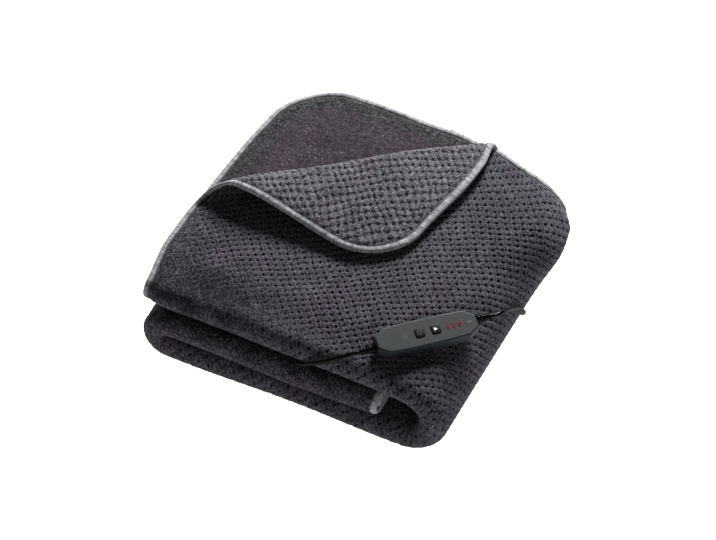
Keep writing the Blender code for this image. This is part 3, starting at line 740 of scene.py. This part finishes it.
# the turns of the coil, from its outside in and round to its top: steps out and up
COIL_TURNS = ((1, 0), (1, -1), (0, -1), (-1, -1), (-1, 0), (-1, 1), (0, 1), (1, 1))
POINTS_PER_TURN = 18
# the share of a turn over which it steps to the next place
COIL_STEP = (0.06, 0.5)


def laid(points):
    """Points given in millimetres from the stack's front left corner."""
    return [Vector(np.array(point) * MM - CENTRE) for point in points]


def at_relief(name, further=0.0):
    """Where a cord leaves its strain relief, or a place further out."""
    way, y, z = RELIEFS[name]
    return HANDSET @ Vector((way * (RELIEF_START + RELIEF_LENGTH + further), y, z))


def coil_points():
    """Turns that lie beside each other and step over to the next place behind the tie."""
    points = []
    for k in range(2, len(COIL_TURNS) * POINTS_PER_TURN + 1):
        turn, share = divmod(k / POINTS_PER_TURN, 1)
        here = COIL_TURNS[min(int(turn), len(COIL_TURNS) - 1)]
        there = COIL_TURNS[min(int(turn) + 1, len(COIL_TURNS) - 1)]
        change = float(eased(*COIL_STEP, share))
        out, up = (2 * CORD_RADIUS * (a + (b - a) * change) for a, b in zip(here, there))
        angle = -math.pi / 2 - 2 * math.pi * share
        radius = COIL_RADIUS + out
        x, y = COIL_X + radius * math.cos(angle), COIL_Y + radius * math.sin(angle)
        points.append(Vector((x, y, COIL_Z + up)) - Vector(CENTRE))
    return points


def add_cords():
    """The cord into the folds, and the mains lead with its coil and the plug's tail."""
    own, mains = RELIEFS
    route = [*laid(BLANKET_CORD), at_relief(own, CORD_STRAIGHT), at_relief(own, -2 * MM)]
    cord = smooth_curve("cord_to_blanket", route)
    start = [at_relief(mains, -6 * MM), at_relief(mains, CORD_STRAIGHT)]
    route = [*start, *laid(MAINS_LEAD), *coil_points(), *laid(PLUG_TAIL)]
    lead = smooth_curve("lead_to_mains", route)
    finish_piece(cord, "jacket", ["blanket_cord"])
    finish_piece(lead, "jacket", ["mains_lead", "mains_lead_coil", "plug_tail"])
    return cord, lead


# --- the cloth ---

# the panels of plush start that far inside the cloth's edge, and sink into it at their own borders
CLOTH_MARGIN = 5.5 * MM
PANEL_FADE = 14 * MM
PANEL_SUNK = 1.4 * MM
PLUSH_RISE_START, PLUSH_RISE_END = 5.5 * MM, 15 * MM
# how far the panels run on past the turns, the left fold and the turned-back corner's crease
TURN_LAP = 12 * MM
LEFT_LAP = 20 * MM
TOP_LAP, FLAP_LAP = 30 * MM, 25 * MM
CORNER_PATCH = 350 * MM
# how far apart their vertices lie: near the camera, on the rolls, round the left and back turns,
# and along the back
NEAR_STEP, ROLLS_STEP, TURNS_STEP, BACK_STEP = 1.5 * MM, 1.7 * MM, 2 * MM, 2.2 * MM
# the same for the whole cloth, and how far in from its corners it is no coarser than that
CLOTH_STEP, CLOTH_PATCH = 6 * MM, 345 * MM
# how much longer the cloth's outer side is than its middle in the folds and turns
FRONT_STRETCH = (PLY / 2 + 1.5 * PITCH) / (1.5 * PITCH)
FOLD_STRETCH = 1.5


def half_thickness(q, s):
    """Half the cloth's thickness, which the tape presses at its edge."""
    return PRESSED + (FULL - PRESSED) * eased(PLUSH_RISE_START, PLUSH_RISE_END, depth_inside(q, s))


def lattice(q, s, side):
    """Counts of pits: a pit lies wherever both are whole. The pile pulls them out of line."""
    astray_q = 1.1 * MM * np.sin(q / 0.0170 + 1.3 * np.sin(s / 0.043))
    astray_q += 0.5 * MM * np.sin(s / 0.0063 + q / 0.031)
    astray_s = 1.0 * MM * np.sin(s / 0.0190 + 1.1 * np.sin(q / 0.037))
    astray_s += 0.5 * MM * np.sin(q / 0.0071 - s / 0.027)
    share = 1 if side > 0 else 2.1
    q, s = q + share * astray_q, s + share * astray_s
    if side > 0:
        s = 0.77 * (s + 0.65 * np.minimum(s, 0.45) ** 2)
    return [q * a + s * b for a, b in (OUTER_LATTICE if side > 0 else INNER_LATTICE)]


def brushed_and_shaded(q, s):
    """How flat the pile lies over the pits, from 0 to 1, over the front and the left end, also
    darkened as painted shade.
    """
    ragged = 9 * MM * np.sin(q / 0.013 + 2 * np.sin(s / 0.021))
    ragged += 7 * MM * np.sin(q / 0.0057 + s / 0.017)
    above = faded(FRONT_END, FRONT_END + 30 * MM, s)
    front = eased(0.35, 0.445, s + ragged) * faded(0.09, 0.28, q + 0.5 * (s - 0.42)) * above
    left = faded(0.0, 0.08, q + ragged) * eased(0.28, 0.37, s) * (s < FRONT_START)
    rolls = (q > FOLD_END) * eased(FRONT_START - 40 * MM, FRONT_START, s) * above
    inner = rolls * eased(LEFT_START, LEFT_END, q)
    end = eased(FOLD_START + 30 * MM, FOLD_START + 90 * MM, q) * (q < FOLD_END)
    end = end * eased(FRONT_START - 60 * MM, FRONT_START, s)
    return np.max([front, left, inner, rolls * 0.25, end * 0.25], axis=0)


def border_band(q, s):
    """1 in the coarser band beside the tape, and 0 within it."""
    return faded(26 * MM, 44 * MM, depth_inside(q, s))


def hollowed(across, along, domed):
    """How deep the plush is dimpled between domed tufts, or between ribs that run both ways."""
    across, along = np.abs(across - np.round(across)), np.abs(along - np.round(along))
    pit = faded(0.06, 0.34, np.hypot(1.15 * across, 0.88 * along))
    domes = 1 - eased(0, 0.45, across) * eased(0, 0.45, along)
    furrows = 0.15 * faded(0, 0.26, across) + 0.5 * faded(0, 0.16, along)
    furrows += 0.7 * eased(0.36, 0.5, along)
    furrows = 0.6 * domes if domed else furrows + 0.2 * domes
    return PIT_DEPTH * pit + FURROW_DEPTH * furrows * (1 - pit)


def even_stations(runs, spacing, start=0.0):
    """Stations along a line, from (length, stretch) runs, so that they lie evenly on the cloth."""
    found, done = [0.0], 0.0
    for length, stretch in runs:
        steps = max(round(length * stretch / spacing), 1)
        found += [done + length * (k + 1) / steps for k in range(steps)]
        done += length
    return np.array(found) + start


def outer_side():
    """Stations across the cloth, and how long its outer side is up to each, off the corner."""
    q = np.linspace(0, WIDTH, 2600)
    return q, run_along(folded(q, np.full_like(q, 0.40), np.full_like(q, FULL)))


OUTER_SIDE = outer_side()


def strip(value, start, end, lap):
    """How far inside a strip, which laps past its ends, flat distances are."""
    return np.minimum(value - start + lap, end + lap - value)


def on_rolls(q, s):
    return strip(s, FRONT_START, FRONT_END, TURN_LAP)


def on_back(q, s):
    return strip(s, BACK_START, BACK_END, TURN_LAP)


def on_front(q, s):
    return FRONT_END + TURN_LAP - s


def on_top(q, s):
    return TOP_LAP - past_crease(q, s)


def on_flap(q, s):
    return past_crease(q, s) + FLAP_LAP


def under_flap(q, s):
    return past_crease(q, LENGTH - s) + FLAP_LAP


def all_over(q, s):
    return np.full_like(q, np.inf)


def pits_left(q, s):
    """The pits fade into the fuzz over the front."""
    fading = faded(TOP_PANEL - 160 * MM, TOP_PANEL - 60 * MM, q) * (q < FOLD_START)
    return 1 - 0.6 * eased(FRONT_START - 30 * MM, FRONT_START + 10 * MM, s) * fading


def with_ends(line):
    """Stations with one more beyond either end."""
    return np.concatenate([[2 * line[0] - line[1]], line, [2 * line[-1] - line[-2]]])


def add_panel(name, q_line, s_line, side, finish, pits, ends, stop=all_over, stretched=False):
    """A part of the cloth's surface as finely made as its pits need.

    pits says how much of the pits is left. ends and stop say how far inside its hidden borders flat
    points are, and the panel is cut off at its stop."""
    q, s = rounded(*np.meshgrid(with_ends(q_line), with_ends(s_line)), CLOTH_MARGIN)
    across, along = lattice(np.interp(q, *OUTER_SIDE) if stretched else q, s, side)
    inside = eased(0, PANEL_FADE, np.minimum(ends(q, s), stop(q, s)))
    off_edge = eased(PLUSH_RISE_START, PLUSH_RISE_END, depth_inside(q, s))
    brush_and_shade = brushed_and_shaded(q, s) if side > 0 else np.zeros_like(q)
    hollow = hollowed(across, along, side < 0) * inside * off_edge
    hollow = hollow * (pits(q, s) if callable(pits) else pits) * (1 - 0.7 * brush_and_shade)
    places = folded(q, s, side * (half_thickness(q, s) - PANEL_SUNK * (1 - inside) - hollow))
    right = places[1:-1, 2:] - places[1:-1, :-2]
    ahead = places[2:, 1:-1] - places[:-2, 1:-1]
    normals = -side * np.cross(right, ahead)
    normals /= np.maximum(np.linalg.norm(normals, axis=-1, keepdims=True), 1e-12)
    padded = (q, s, across, along, places, brush_and_shade)
    q, s, across, along, places, brush_and_shade = (values[1:-1, 1:-1] for values in padded)
    faces = grid_faces(len(s_line), len(q_line), reverse=side > 0)
    kept = (stop(q, s) > 0).ravel()
    used, faces = np.unique(faces[kept[faces].all(axis=1)], return_inverse=True)
    # the pile map holds how flat the pile lies, which is also the mask of painted shade, and the
    # band beside the tape
    pairs = {"cloth": (across, along), "pile": (brush_and_shade, border_band(q, s)), "flat": (q, s)}
    maps = {kind: np.stack(pair, axis=-1).reshape(-1, 2)[used] for kind, pair in pairs.items()}
    places, normals = (values.reshape(-1, 3)[used] for values in (places, normals))
    panel = add_mesh(name, places, faces.reshape(-1, 4), maps, normals)
    return finish_piece(panel, finish)


def add_panels():
    """The parts of the plush that show, each as finely made as it is seen."""
    front_turn = [(FRONT_TURN, FRONT_STRETCH), (TURN_LAP, 1)]
    from_edge, to_edge = (TOP_PANEL - CLOTH_MARGIN, 1), (INNER_PANEL - CLOTH_MARGIN, 1)
    top_q = even_stations([from_edge], NEAR_STEP, CLOTH_MARGIN)
    fold_q = even_stations([(RIGHT_FOLD, FOLD_STRETCH)], NEAR_STEP, FOLD_START)
    top_s = even_stations([(FRONT_START - CLOTH_MARGIN, 1), *front_turn], NEAR_STEP, CLOTH_MARGIN)
    rolls_q = [(BOTTOM_PANEL, 1), (LEFT_FOLD, FOLD_STRETCH), to_edge]
    rolls_q = even_stations(rolls_q, ROLLS_STEP, FOLD_END)
    rolls_s = even_stations([(TURN_LAP, 1), *front_turn], ROLLS_STEP, FRONT_START - TURN_LAP)
    left_q = [(LEFT_LAP, 1), (LEFT_FOLD, 2.2), (LEFT_LAP, 1)]
    left_q = even_stations(left_q, TURNS_STEP, LEFT_START - LEFT_LAP)
    left_s = [(FRONT_START - TURN_LAP - CLOTH_MARGIN + PANEL_FADE, 1)]
    left_s = even_stations(left_s, TURNS_STEP, CLOTH_MARGIN)
    back_q = [from_edge, (RIGHT_FOLD, 1), (BOTTOM_PANEL, 1), (LEFT_FOLD, 1), to_edge]
    back_q = even_stations(back_q, BACK_STEP, CLOTH_MARGIN)
    back_s = [(TURN_LAP, 1), (TIGHT_TURN, 1.8), (TURN_LAP, 1)]
    back_s = even_stations(back_s, TURNS_STEP, BACK_START - TURN_LAP)
    corner = even_stations([(CORNER_PATCH, 1)], NEAR_STEP, CLOTH_MARGIN)
    far_corner = LENGTH - corner[::-1]

    def on_left(q, s):
        return np.minimum(strip(q, LEFT_START, LEFT_END, LEFT_LAP), left_s[-1] - s)

    return [add_panel(*row) for row in (
        ("plush_top", top_q, top_s, 1, "plush", pits_left, on_front, on_top, True),
        ("plush_right_fold", fold_q, top_s, 1, "plush", pits_left, on_front, all_over, True),
        ("plush_lower_rolls", rolls_q, rolls_s, 1, "plush", pits_left, on_rolls, all_over, True),
        ("plush_left_fold", left_q, left_s, 1, "plush", 1, on_left, all_over, True),
        ("plush_back_turns", back_q, back_s, 1, "plush", 1, on_back),
        ("plush_flap", corner, corner, -1, "plush flap", 1, all_over, on_flap),
        ("plush_under_flap", corner, far_corner, -1, "plush inside", 0.15, all_over, under_flap),
    )]


def covered(q, s, side):
    """Where a panel lies over the cloth on that side, from 0 to 1."""
    def within(border):
        return eased(0, PANEL_FADE, border)

    if side < 0:
        return np.maximum(within(on_flap(q, s)), within(under_flap(q, s)))
    top = within(on_front(q, s)) * within(on_top(q, s)) * (q < FOLD_END)
    left = within(np.minimum(strip(q, LEFT_START, LEFT_END, LEFT_LAP), FRONT_START - s))
    return np.max([within(on_rolls(q, s)), within(on_back(q, s)), top, left], axis=0)


def add_cloth():
    """The whole cloth, closed round its edge, inside the panels where they cover it."""
    q_line = even_stations([
        (CLOTH_PATCH, 1), (TOP_PANEL - CLOTH_PATCH, 0.6), (RIGHT_FOLD, 1), (BOTTOM_PANEL, 0.5),
        (LEFT_FOLD, 1.4), (INNER_PANEL, 0.5),
    ], CLOTH_STEP)
    to_patch = (PLY_WITH_HEM - CLOTH_PATCH, 0.7)
    s_line = even_stations([
        (CLOTH_PATCH, 1), to_patch, (FRONT_TURN, 2.4), (PLY_BETWEEN, 0.5), (TIGHT_TURN, 3),
        (PLY_BETWEEN, 0.5), (TIGHT_TURN, 3), to_patch, (CLOTH_PATCH, 0.8),
    ], CLOTH_STEP)
    q, s = rounded(*np.meshgrid(q_line, s_line), 0)
    # the outer side, the inner side, and the faces that close them round the edge
    places, faces, pits = [], [], []
    for side, first in ((1, 0), (-1, q.size)):
        half = half_thickness(q, s)
        half = half - (half - PRESSED) * covered(q, s, side)
        places.append(folded(q, s, side * half).reshape(-1, 3))
        faces.append(grid_faces(*q.shape, reverse=side > 0) + first)
        pits.append(np.stack(lattice(q, s, side), axis=-1).reshape(-1, 2))
    number = np.arange(q.size).reshape(q.shape)
    edge = np.concatenate([number[0, :-1], number[:-1, -1], number[-1, :0:-1], number[:0:-1, 0]])
    after = np.roll(edge, -1)
    faces.append(np.stack([edge, after, after + q.size, edge + q.size], axis=-1))
    brush_and_shade, band = brushed_and_shaded(q, s).ravel(), border_band(q, s).ravel()
    # the pile map holds how flat the pile lies, which is also the mask of painted shade, and the
    # band beside the tape
    maps = {
        "cloth": np.concatenate(pits),
        "pile": np.stack([np.concatenate([brush_and_shade, 0 * brush_and_shade]), np.tile(band, 2)], axis=-1),
        "flat": np.tile(np.stack([q, s], axis=-1).reshape(-1, 2), (2, 1)),
    }
    cloth = add_mesh("blanket_cloth", np.concatenate(places), np.concatenate(faces), maps)
    return finish_piece(cloth, "plush", ["blanket"])


# --- the tape ---

TAPE_STEP = 2.5 * MM
# out from the cloth's edge, up from its middle
TAPE_SECTION = in_metres((
    (-8.0, 2.0), (-8.3, 2.6), (-7.9, 3.05), (-7.0, 2.85), (-6.2, 3.25), (-4.6, 3.5), (-2.6, 3.45),
    (-0.8, 3.1), (0.7, 2.4), (1.5, 1.4), (1.8, 0),
))


def edge_line(spacing):
    """Points round the cloth's edge, and the direction out of it at each."""
    middle = np.array((WIDTH / 2, LENGTH / 2))
    reach = middle - CORNER_RADIUS
    points, ways = [], []
    quarter = math.pi / 2
    turn_steps = round(quarter * CORNER_RADIUS / spacing)
    for side, signs in enumerate(((-1, -1), (1, -1), (1, 1), (-1, 1))):
        centre = middle + reach * signs
        start = math.pi + side * quarter
        length = 2 * reach[side % 2]
        steps = round(length / spacing)
        stretch = [(start + quarter * k / turn_steps, 0, 0) for k in range(turn_steps)]
        stretch += [(start + quarter, length, k) for k in range(steps)]
        for angle, run, k in stretch:
            way = np.array((math.cos(angle), math.sin(angle)))
            direction = np.array((-way[1], way[0]))
            points.append(centre + CORNER_RADIUS * way + direction * run * k / steps)
            ways.append(way)
    return np.array(points), np.array(ways)


def add_tape():
    points, ways = edge_line(TAPE_STEP)
    run = run_along(points)
    out, up = np.array(TAPE_SECTION + [(x, -t) for x, t in TAPE_SECTION[-2::-1]]).T
    pucker = 0.22 * MM * np.sin(run / 0.0031 + 2 * np.sin(run / 0.047))
    pucker += 0.3 * MM * np.sin(run / 0.0123 + 1.7 * np.sin(run / 0.09))
    lap = 0.35 * MM * np.sin(run / 0.0201 + np.sin(run / 0.011))
    reach = out[None] + np.where(out < -4 * MM, 1.0, 0.0) * lap[:, None]
    rise = np.sign(up) * eased(1.5 * MM, 3.6 * MM, np.abs(up))
    q, s = points[:, :1] + ways[:, :1] * reach, points[:, 1:] + ways[:, 1:] * reach
    places = folded(q, s, up[None] + rise * pucker[:, None])
    number = np.arange(q.size).reshape(q.shape)
    beside, after = np.roll(number, -1, 1), np.roll(number, -1, 0)
    faces = np.stack([number, beside, np.roll(beside, -1, 0), after], axis=-1).reshape(-1, 4)
    flat = np.stack(np.broadcast_arrays(run[:, None], out[None]), axis=-1)
    tape = add_mesh("satin_binding", places.reshape(-1, 3), faces, {"tape": flat.reshape(-1, 2)})
    return finish_piece(tape, "satin", ["binding"])


panels = add_panels()
tape = add_tape()
cloth = add_cloth()


# --- the handset ---

# distance along, half width there
HOUSING_OUTLINE = (
    (-72.5, 8.5), (-71, 10.8), (-59, 18.8), (-55.5, 20), (-24, 21.4),
    (24, 21.4), (55.5, 20), (59, 18.8), (71, 10.8), (72.5, 8.5),
)
# how far in from that outline, height
BASE_LEVELS = (
    (2.2, 0), (1.0, 0.25), (0.4, 0.9), (0.1, 1.9), (0, 3), (0, 7.5), (0.12, 7.85),
    (0.45, 8.05), (1.4, 8.1),
)
COVER_LEVELS = (
    (1.4, 8.2), (0.45, 8.25), (0.12, 8.45), (0, 8.8), (0, 13.6), (0.12, 14.8),
    (0.45, 15.7), (1.0, 16.4), (1.8, 16.85), (2.8, 17),
)
COVER_TOP = 17 * MM
BUTTON_SIZE, BUTTON_CORNER, BUTTON_PROUD, BUTTON_THICKNESS = 13.4 * MM, 3 * MM, 1 * MM, 3.4 * MM
BUTTONS = {"power_button": -10.5 * MM, "heat_button": 12.5 * MM}
LIGHT_LENGTH, LIGHT_WIDTH, LIGHT_PROUD, LIGHT_THICKNESS = 3.4 * MM, 8.6 * MM, 0.2 * MM, 1.4 * MM
LIGHT_SLANT, LIGHT_WELL_CORNER = 0.16, 0.8 * MM
LIGHTS = {"level_light_1": 29.5 * MM, "level_light_2": 38 * MM, "level_light_3": 46.5 * MM}
WELL_GAP, WELL_EDGE = 0.35 * MM, 0.22 * MM
MARK_DEPTH = 0.3 * MM


def housing_half(name, levels):
    near = [Vector((x, -y)) * MM for x, y in HOUSING_OUTLINE]
    far = [Vector((x, y)) * MM for x, y in reversed(HOUSING_OUTLINE)]
    rings = []
    for distance, height in in_metres(levels):
        loop = rounded_loop(inset(near + far, distance), 2.5 * MM, 3)
        rings.append([(point.x, point.y, height) for point in loop])
    return lofted(name, rings, sharp=30)


def bar(name, length, width, low, high, x, corner, edge=0.0, slant=0.0):
    """A low block with rounded corners, its top edge rounded as well."""
    box = [(a * length / 2, b * width / 2) for a, b in ((-1, -1), (1, -1), (1, 1), (-1, 1))]
    levels = [(0, low)]
    for angle in np.linspace(0, math.pi / 2, 5):
        levels.append((edge * (1 - math.cos(angle)), high - edge * (1 - math.sin(angle))))
    rings = []
    for distance, height in levels:
        loop = rounded_loop(inset(box, distance), corner, 5)
        rings.append([(x + point.x + slant * point.y, point.y, height) for point in loop])
    return lofted(name, rings, sharp=50)


def add_wells(cover):
    """Cuts the wells of the buttons and of the lights into the cover."""
    wells = []
    for x in BUTTONS.values():
        wells.append((BUTTON_SIZE, BUTTON_SIZE, BUTTON_THICKNESS, x, BUTTON_CORNER, 0))
    for x in LIGHTS.values():
        wells.append((
            LIGHT_LENGTH, LIGHT_WIDTH, LIGHT_THICKNESS, x, LIGHT_WELL_CORNER, LIGHT_SLANT,
        ))
    cutters = []
    for length, width, deep, x, corner, slant in wells:
        length, width, corner = length + 2 * WELL_GAP, width + 2 * WELL_GAP, corner + WELL_GAP
        low, high = COVER_TOP - deep, COVER_TOP + 1 * MM
        cutters.append(bar("cutter", length, width, low, high, x, corner, slant=slant))
        cutting = cover.modifiers.new("well", "BOOLEAN")
        cutting.operation, cutting.solver, cutting.object = "DIFFERENCE", "EXACT", cutters[-1]
    applied(cover)
    for cutter in cutters:
        bpy.data.objects.remove(cutter)
    edges = cover.modifiers.new("edges", "BEVEL")
    edges.width, edges.segments = WELL_EDGE, 2
    edges.limit_method, edges.angle_limit = "ANGLE", math.radians(50)
    applied(cover)
    cover.data.shade_smooth()
    cover.data.set_sharp_from_angle(angle=math.radians(35))
    evened(cover)


def flat_ring(name, x, outer, inner, ground, proud, sides=40):
    """A ring let into the ground, round x."""
    low, high = ground - MARK_DEPTH, ground + proud
    section = ((outer, low), (outer, high), (inner, high), (inner, low))
    angles = [2 * math.pi * k / sides for k in range(sides)]
    rings = [[(x + r * math.cos(a), r * math.sin(a), z) for r, z in section] for a in angles]
    return lofted(name, rings, joined=True)


def add_keys():
    """The two keys and their marks."""
    top = COVER_TOP + BUTTON_PROUD
    for node, x in BUTTONS.items():
        key = bar(
            node.replace("button", "key"), BUTTON_SIZE, BUTTON_SIZE, top - BUTTON_THICKNESS, top, x,
            BUTTON_CORNER, 0.8 * MM,
        )
        finish_piece(key, "button", [node], HANDSET, node)
    x = BUTTONS["power_button"]
    ring = flat_ring("power_mark", x, 3.1 * MM, 2.45 * MM, top, 0.08 * MM)
    finish_piece(ring, "faint mark", (), HANDSET, "power_button")
    x = BUTTONS["heat_button"]
    arrow = [Vector((x + a, b)) for a, b in in_metres(((-2.4, -2.6), (2.9, 0), (-2.4, 2.6)))]
    arrow = rounded_loop(arrow, 0.5 * MM, 3)
    rings = [[(v.x, v.y, z) for v in arrow] for z in (top - MARK_DEPTH, top + 0.08 * MM)]
    finish_piece(lofted("heat_mark", rings), "mark", (), HANDSET, "heat_button")


def add_handset():
    """The housing's halves, the keys, the level lights, each in two halves, and the faint marks."""
    base = housing_half("handset_base", BASE_LEVELS)
    cover = housing_half("handset_cover", COVER_LEVELS)
    evened(base)
    add_wells(cover)
    finish_piece(base, "housing", ["controller_base"], HANDSET)
    finish_piece(cover, "housing", ["controller_cover"], HANDSET)
    add_keys()
    ring = flat_ring("standby_mark", -31 * MM, 3.0 * MM, 2.5 * MM, COVER_TOP, 0.05 * MM)
    finish_piece(ring, "faint mark", (), HANDSET)
    top = COVER_TOP + LIGHT_PROUD
    for node, x in LIGHTS.items():
        for end, way in (("near", -1), ("far", 1)):
            light = bar(
                node.replace("light", "lamp") + "_" + end, 0.42 * LIGHT_LENGTH, LIGHT_WIDTH,
                top - LIGHT_THICKNESS, top, x + way * 0.29 * LIGHT_LENGTH, 0.6 * MM, 0.3 * MM,
                LIGHT_SLANT,
            )
            finish_piece(light, "light", [node], HANDSET)
    low, high = COVER_TOP - MARK_DEPTH, COVER_TOP + 0.06 * MM
    dash = bar("faint_bar", 7 * MM, 1.6 * MM, low, high, 61 * MM, 0.7 * MM, slant=0.5)
    finish_piece(dash, "faint mark", (), HANDSET)


RELIEF_RIBS = 5


def relief_profile():
    """Rounded ribs on a taper, and a collar against the housing."""
    profile = [(0, 6.1 * MM), (1.4 * MM, 6.3 * MM), (2.2 * MM, 5.2 * MM)]
    start, step = 2.6 * MM, (RELIEF_LENGTH - 4.2 * MM) / RELIEF_RIBS
    rib = ((0, 0), (0.1, 0.9), (0.22, 1.25), (0.42, 1.25), (0.54, 0.9), (0.64, 0))
    for k in range(RELIEF_RIBS):
        core = (4.7 - 1.4 * (k + 0.5) / RELIEF_RIBS) * MM
        profile += [(start + (k + share) * step, core + proud * MM) for share, proud in rib]
    return profile + [(RELIEF_LENGTH - 1 * MM, 3.2 * MM), (RELIEF_LENGTH, 2.9 * MM)]


def add_reliefs():
    """The ribbed sleeves over the cords' reliefs."""
    found = []
    for node, (way, y, z) in RELIEFS.items():
        sleeve = turned(node.replace("relief", "sleeve"), relief_profile(), 36, 50)
        turn = Matrix.Rotation(0 if way > 0 else math.pi, 4, "Z")
        place = HANDSET @ Matrix.Translation((way * (RELIEF_START - 0.3 * MM), y, z)) @ turn
        found.append(finish_piece(sleeve, "sleeve", [node], place))
    return found


# --- the coil's tie and the plug ---

TIE_WIDTH, TIE_THICKNESS, TIE_LAP_RISE = 6 * MM, 0.75 * MM, 0.85 * MM
COIL_BUNDLE = 16.5 * MM


def add_tie():
    """A strap round the turns, its end lapped over itself."""
    half = COIL_BUNDLE / 2 + 0.3 * MM
    long = half + 0.5 * MM
    loop = rounded_loop([(long, half), (-long, half), (-long, -half), (long, -half)], 5 * MM, 8)
    rings = []
    lap = len(loop) // 4
    for k in range(len(loop) + lap):
        point, before, after = (loop[(k + d) % len(loop)] for d in (0, -1, 1))
        way = (after - before).normalized()
        out = Vector((way.y, -way.x))
        low = TIE_LAP_RISE * float(eased(len(loop) - 5, len(loop), k))
        high = low + TIE_THICKNESS
        wide = TIE_WIDTH / 2 * (1 if k < len(loop) + lap - 2 else 0.8)
        section = ((low, -1), (low, 1), (high, 1), (high, -1))
        corners = [(point + out * rise, side * wide) for rise, side in section]
        rings.append([(corner.x, y, corner.y) for corner, y in corners])
    tie = lofted("coil_tie", rings, sharp=60)
    place = Matrix.Translation(Vector((COIL_X - COIL_RADIUS, COIL_Y, COIL_Z)) - Vector(CENTRE))
    return finish_piece(tie, "strap", ["cord_tie"], place)


PLUG_PLACE = Vector((133.9, 476, 6.85)) * MM - Vector(CENTRE)
PLUG_SIDES = 48
PLUG_LENGTH, PIN_SPACING = 36 * MM, 18.6 * MM
# the ribs where it is held, in millimetres: how deep, and from where to where
GRIP_DEPTH, GRIP_START, GRIP_END = 0.35, 18, 33
# distance along, half its width, half its height, in millimetres
PLUG_SHAPE = (
    (0, 3.6, 3.6), (0.6, 4.0, 4.0), (3, 4.3, 4.3), (7, 4.8, 4.7), (10, 5.6, 5.2), (13, 8.2, 6.0),
    (16, 12.5, 6.6), (19, 15.4, 6.85), (23, 17, 6.85), (28, 17.5, 6.85), (33, 17.2, 6.85),
    (35, 16.8, 6.7), (35.7, 16.2, 6.2), (36, 15.2, 5.4),
)
# distance along, radius
PIN_PROFILE = in_metres(((-1, 1.85), (17.4, 1.95), (18.3, 1.7), (18.9, 1.1), (19.2, 0.3)))
PIN_SLEEVE_PROFILE = in_metres(((-1, 2.0), (8.6, 2.0), (9.2, 1.9), (9.3, 1.6)))


def add_plug():
    """A flat two-pin plug, ribbed where it is held."""
    place = Matrix.LocRotScale(PLUG_PLACE, Euler((0, 0, math.pi)), None)
    rings = []
    for along, wide, high in PLUG_SHAPE:
        # round where the cord comes out, and squarer as it widens
        power = 2 / (2 + 1.6 * (wide - 3.6) / 14)
        ring = []
        for k in range(PLUG_SIDES):
            angle = 2 * math.pi * k / PLUG_SIDES
            c, s = math.cos(angle), math.sin(angle)
            y = math.copysign(abs(c) ** power, c) * wide
            z = math.copysign(abs(s) ** power, s) * high
            grip = GRIP_DEPTH * max(0, math.sin(along * 2.1)) * (abs(c) > 0.75)
            grip = grip * (GRIP_START < along < GRIP_END)
            ring.append((along * MM, (y - math.copysign(grip, y)) * MM, z * MM))
        rings.append(ring)
    plug = lofted("mains_plug", rings, sharp=60)
    pieces = [finish_piece(plug, "jacket", ["plug_body"], place)]
    for node, way in (("plug_pin_left", 1), ("plug_pin_right", -1)):
        root = place @ Matrix.Translation((PLUG_LENGTH, way * PIN_SPACING / 2, 0))
        pin = node.replace("plug_", "")
        metal = turned(pin + "_metal", PIN_PROFILE, 24, 60)
        sleeve = turned(pin + "_sleeve", PIN_SLEEVE_PROFILE, 24, 60)
        pieces.append(finish_piece(metal, "pin metal", [node], root))
        pieces.append(finish_piece(sleeve, "jacket", (), root))
    return pieces


add_handset()
sleeves = add_reliefs()
tie = add_tie()
plug = add_plug()
cord, lead = add_cords()


# --- floor and light ---

LIT_SPOT = (0, 0, 0.05)
SKY_STRENGTH = 0.1
FLOOR_HALF = 6
FLOOR_DROP = 0.5 * MM
FLOOR_GLOW = 1.5


def add_floor():
    mesh = bmesh.new()
    bmesh.ops.create_grid(mesh, x_segments=4, y_segments=4, size=FLOOR_HALF)
    data = bpy.data.meshes.new("floor")
    mesh.to_mesh(data)
    mesh.free()
    floor = add_piece("floor", data)
    floor.location.z = -FLOOR_DROP
    pale = Finish("pale floor", base_color=(0.8, 0.8, 0.8), roughness=0.9)
    data.materials.append(pale.set(emission_color=(1, 1, 1), emission_strength=FLOOR_GLOW))


add_floor()
add_light("back", place=(-0.5, 2.65, 1.62), aim=LIT_SPOT, size=0.9, power=425)
add_light("front", place=(2.3, -2.5, 1.2), aim=LIT_SPOT, size=2.2, power=32)
world = bpy.data.worlds.new("studio")
world.use_nodes = True
sky = world.node_tree.nodes["Background"].inputs
sky["Color"].default_value, sky["Strength"].default_value = (1, 1, 1, 1), SKY_STRENGTH
bpy.context.scene.world = world
bpy.context.scene.view_settings.view_transform = "Standard"
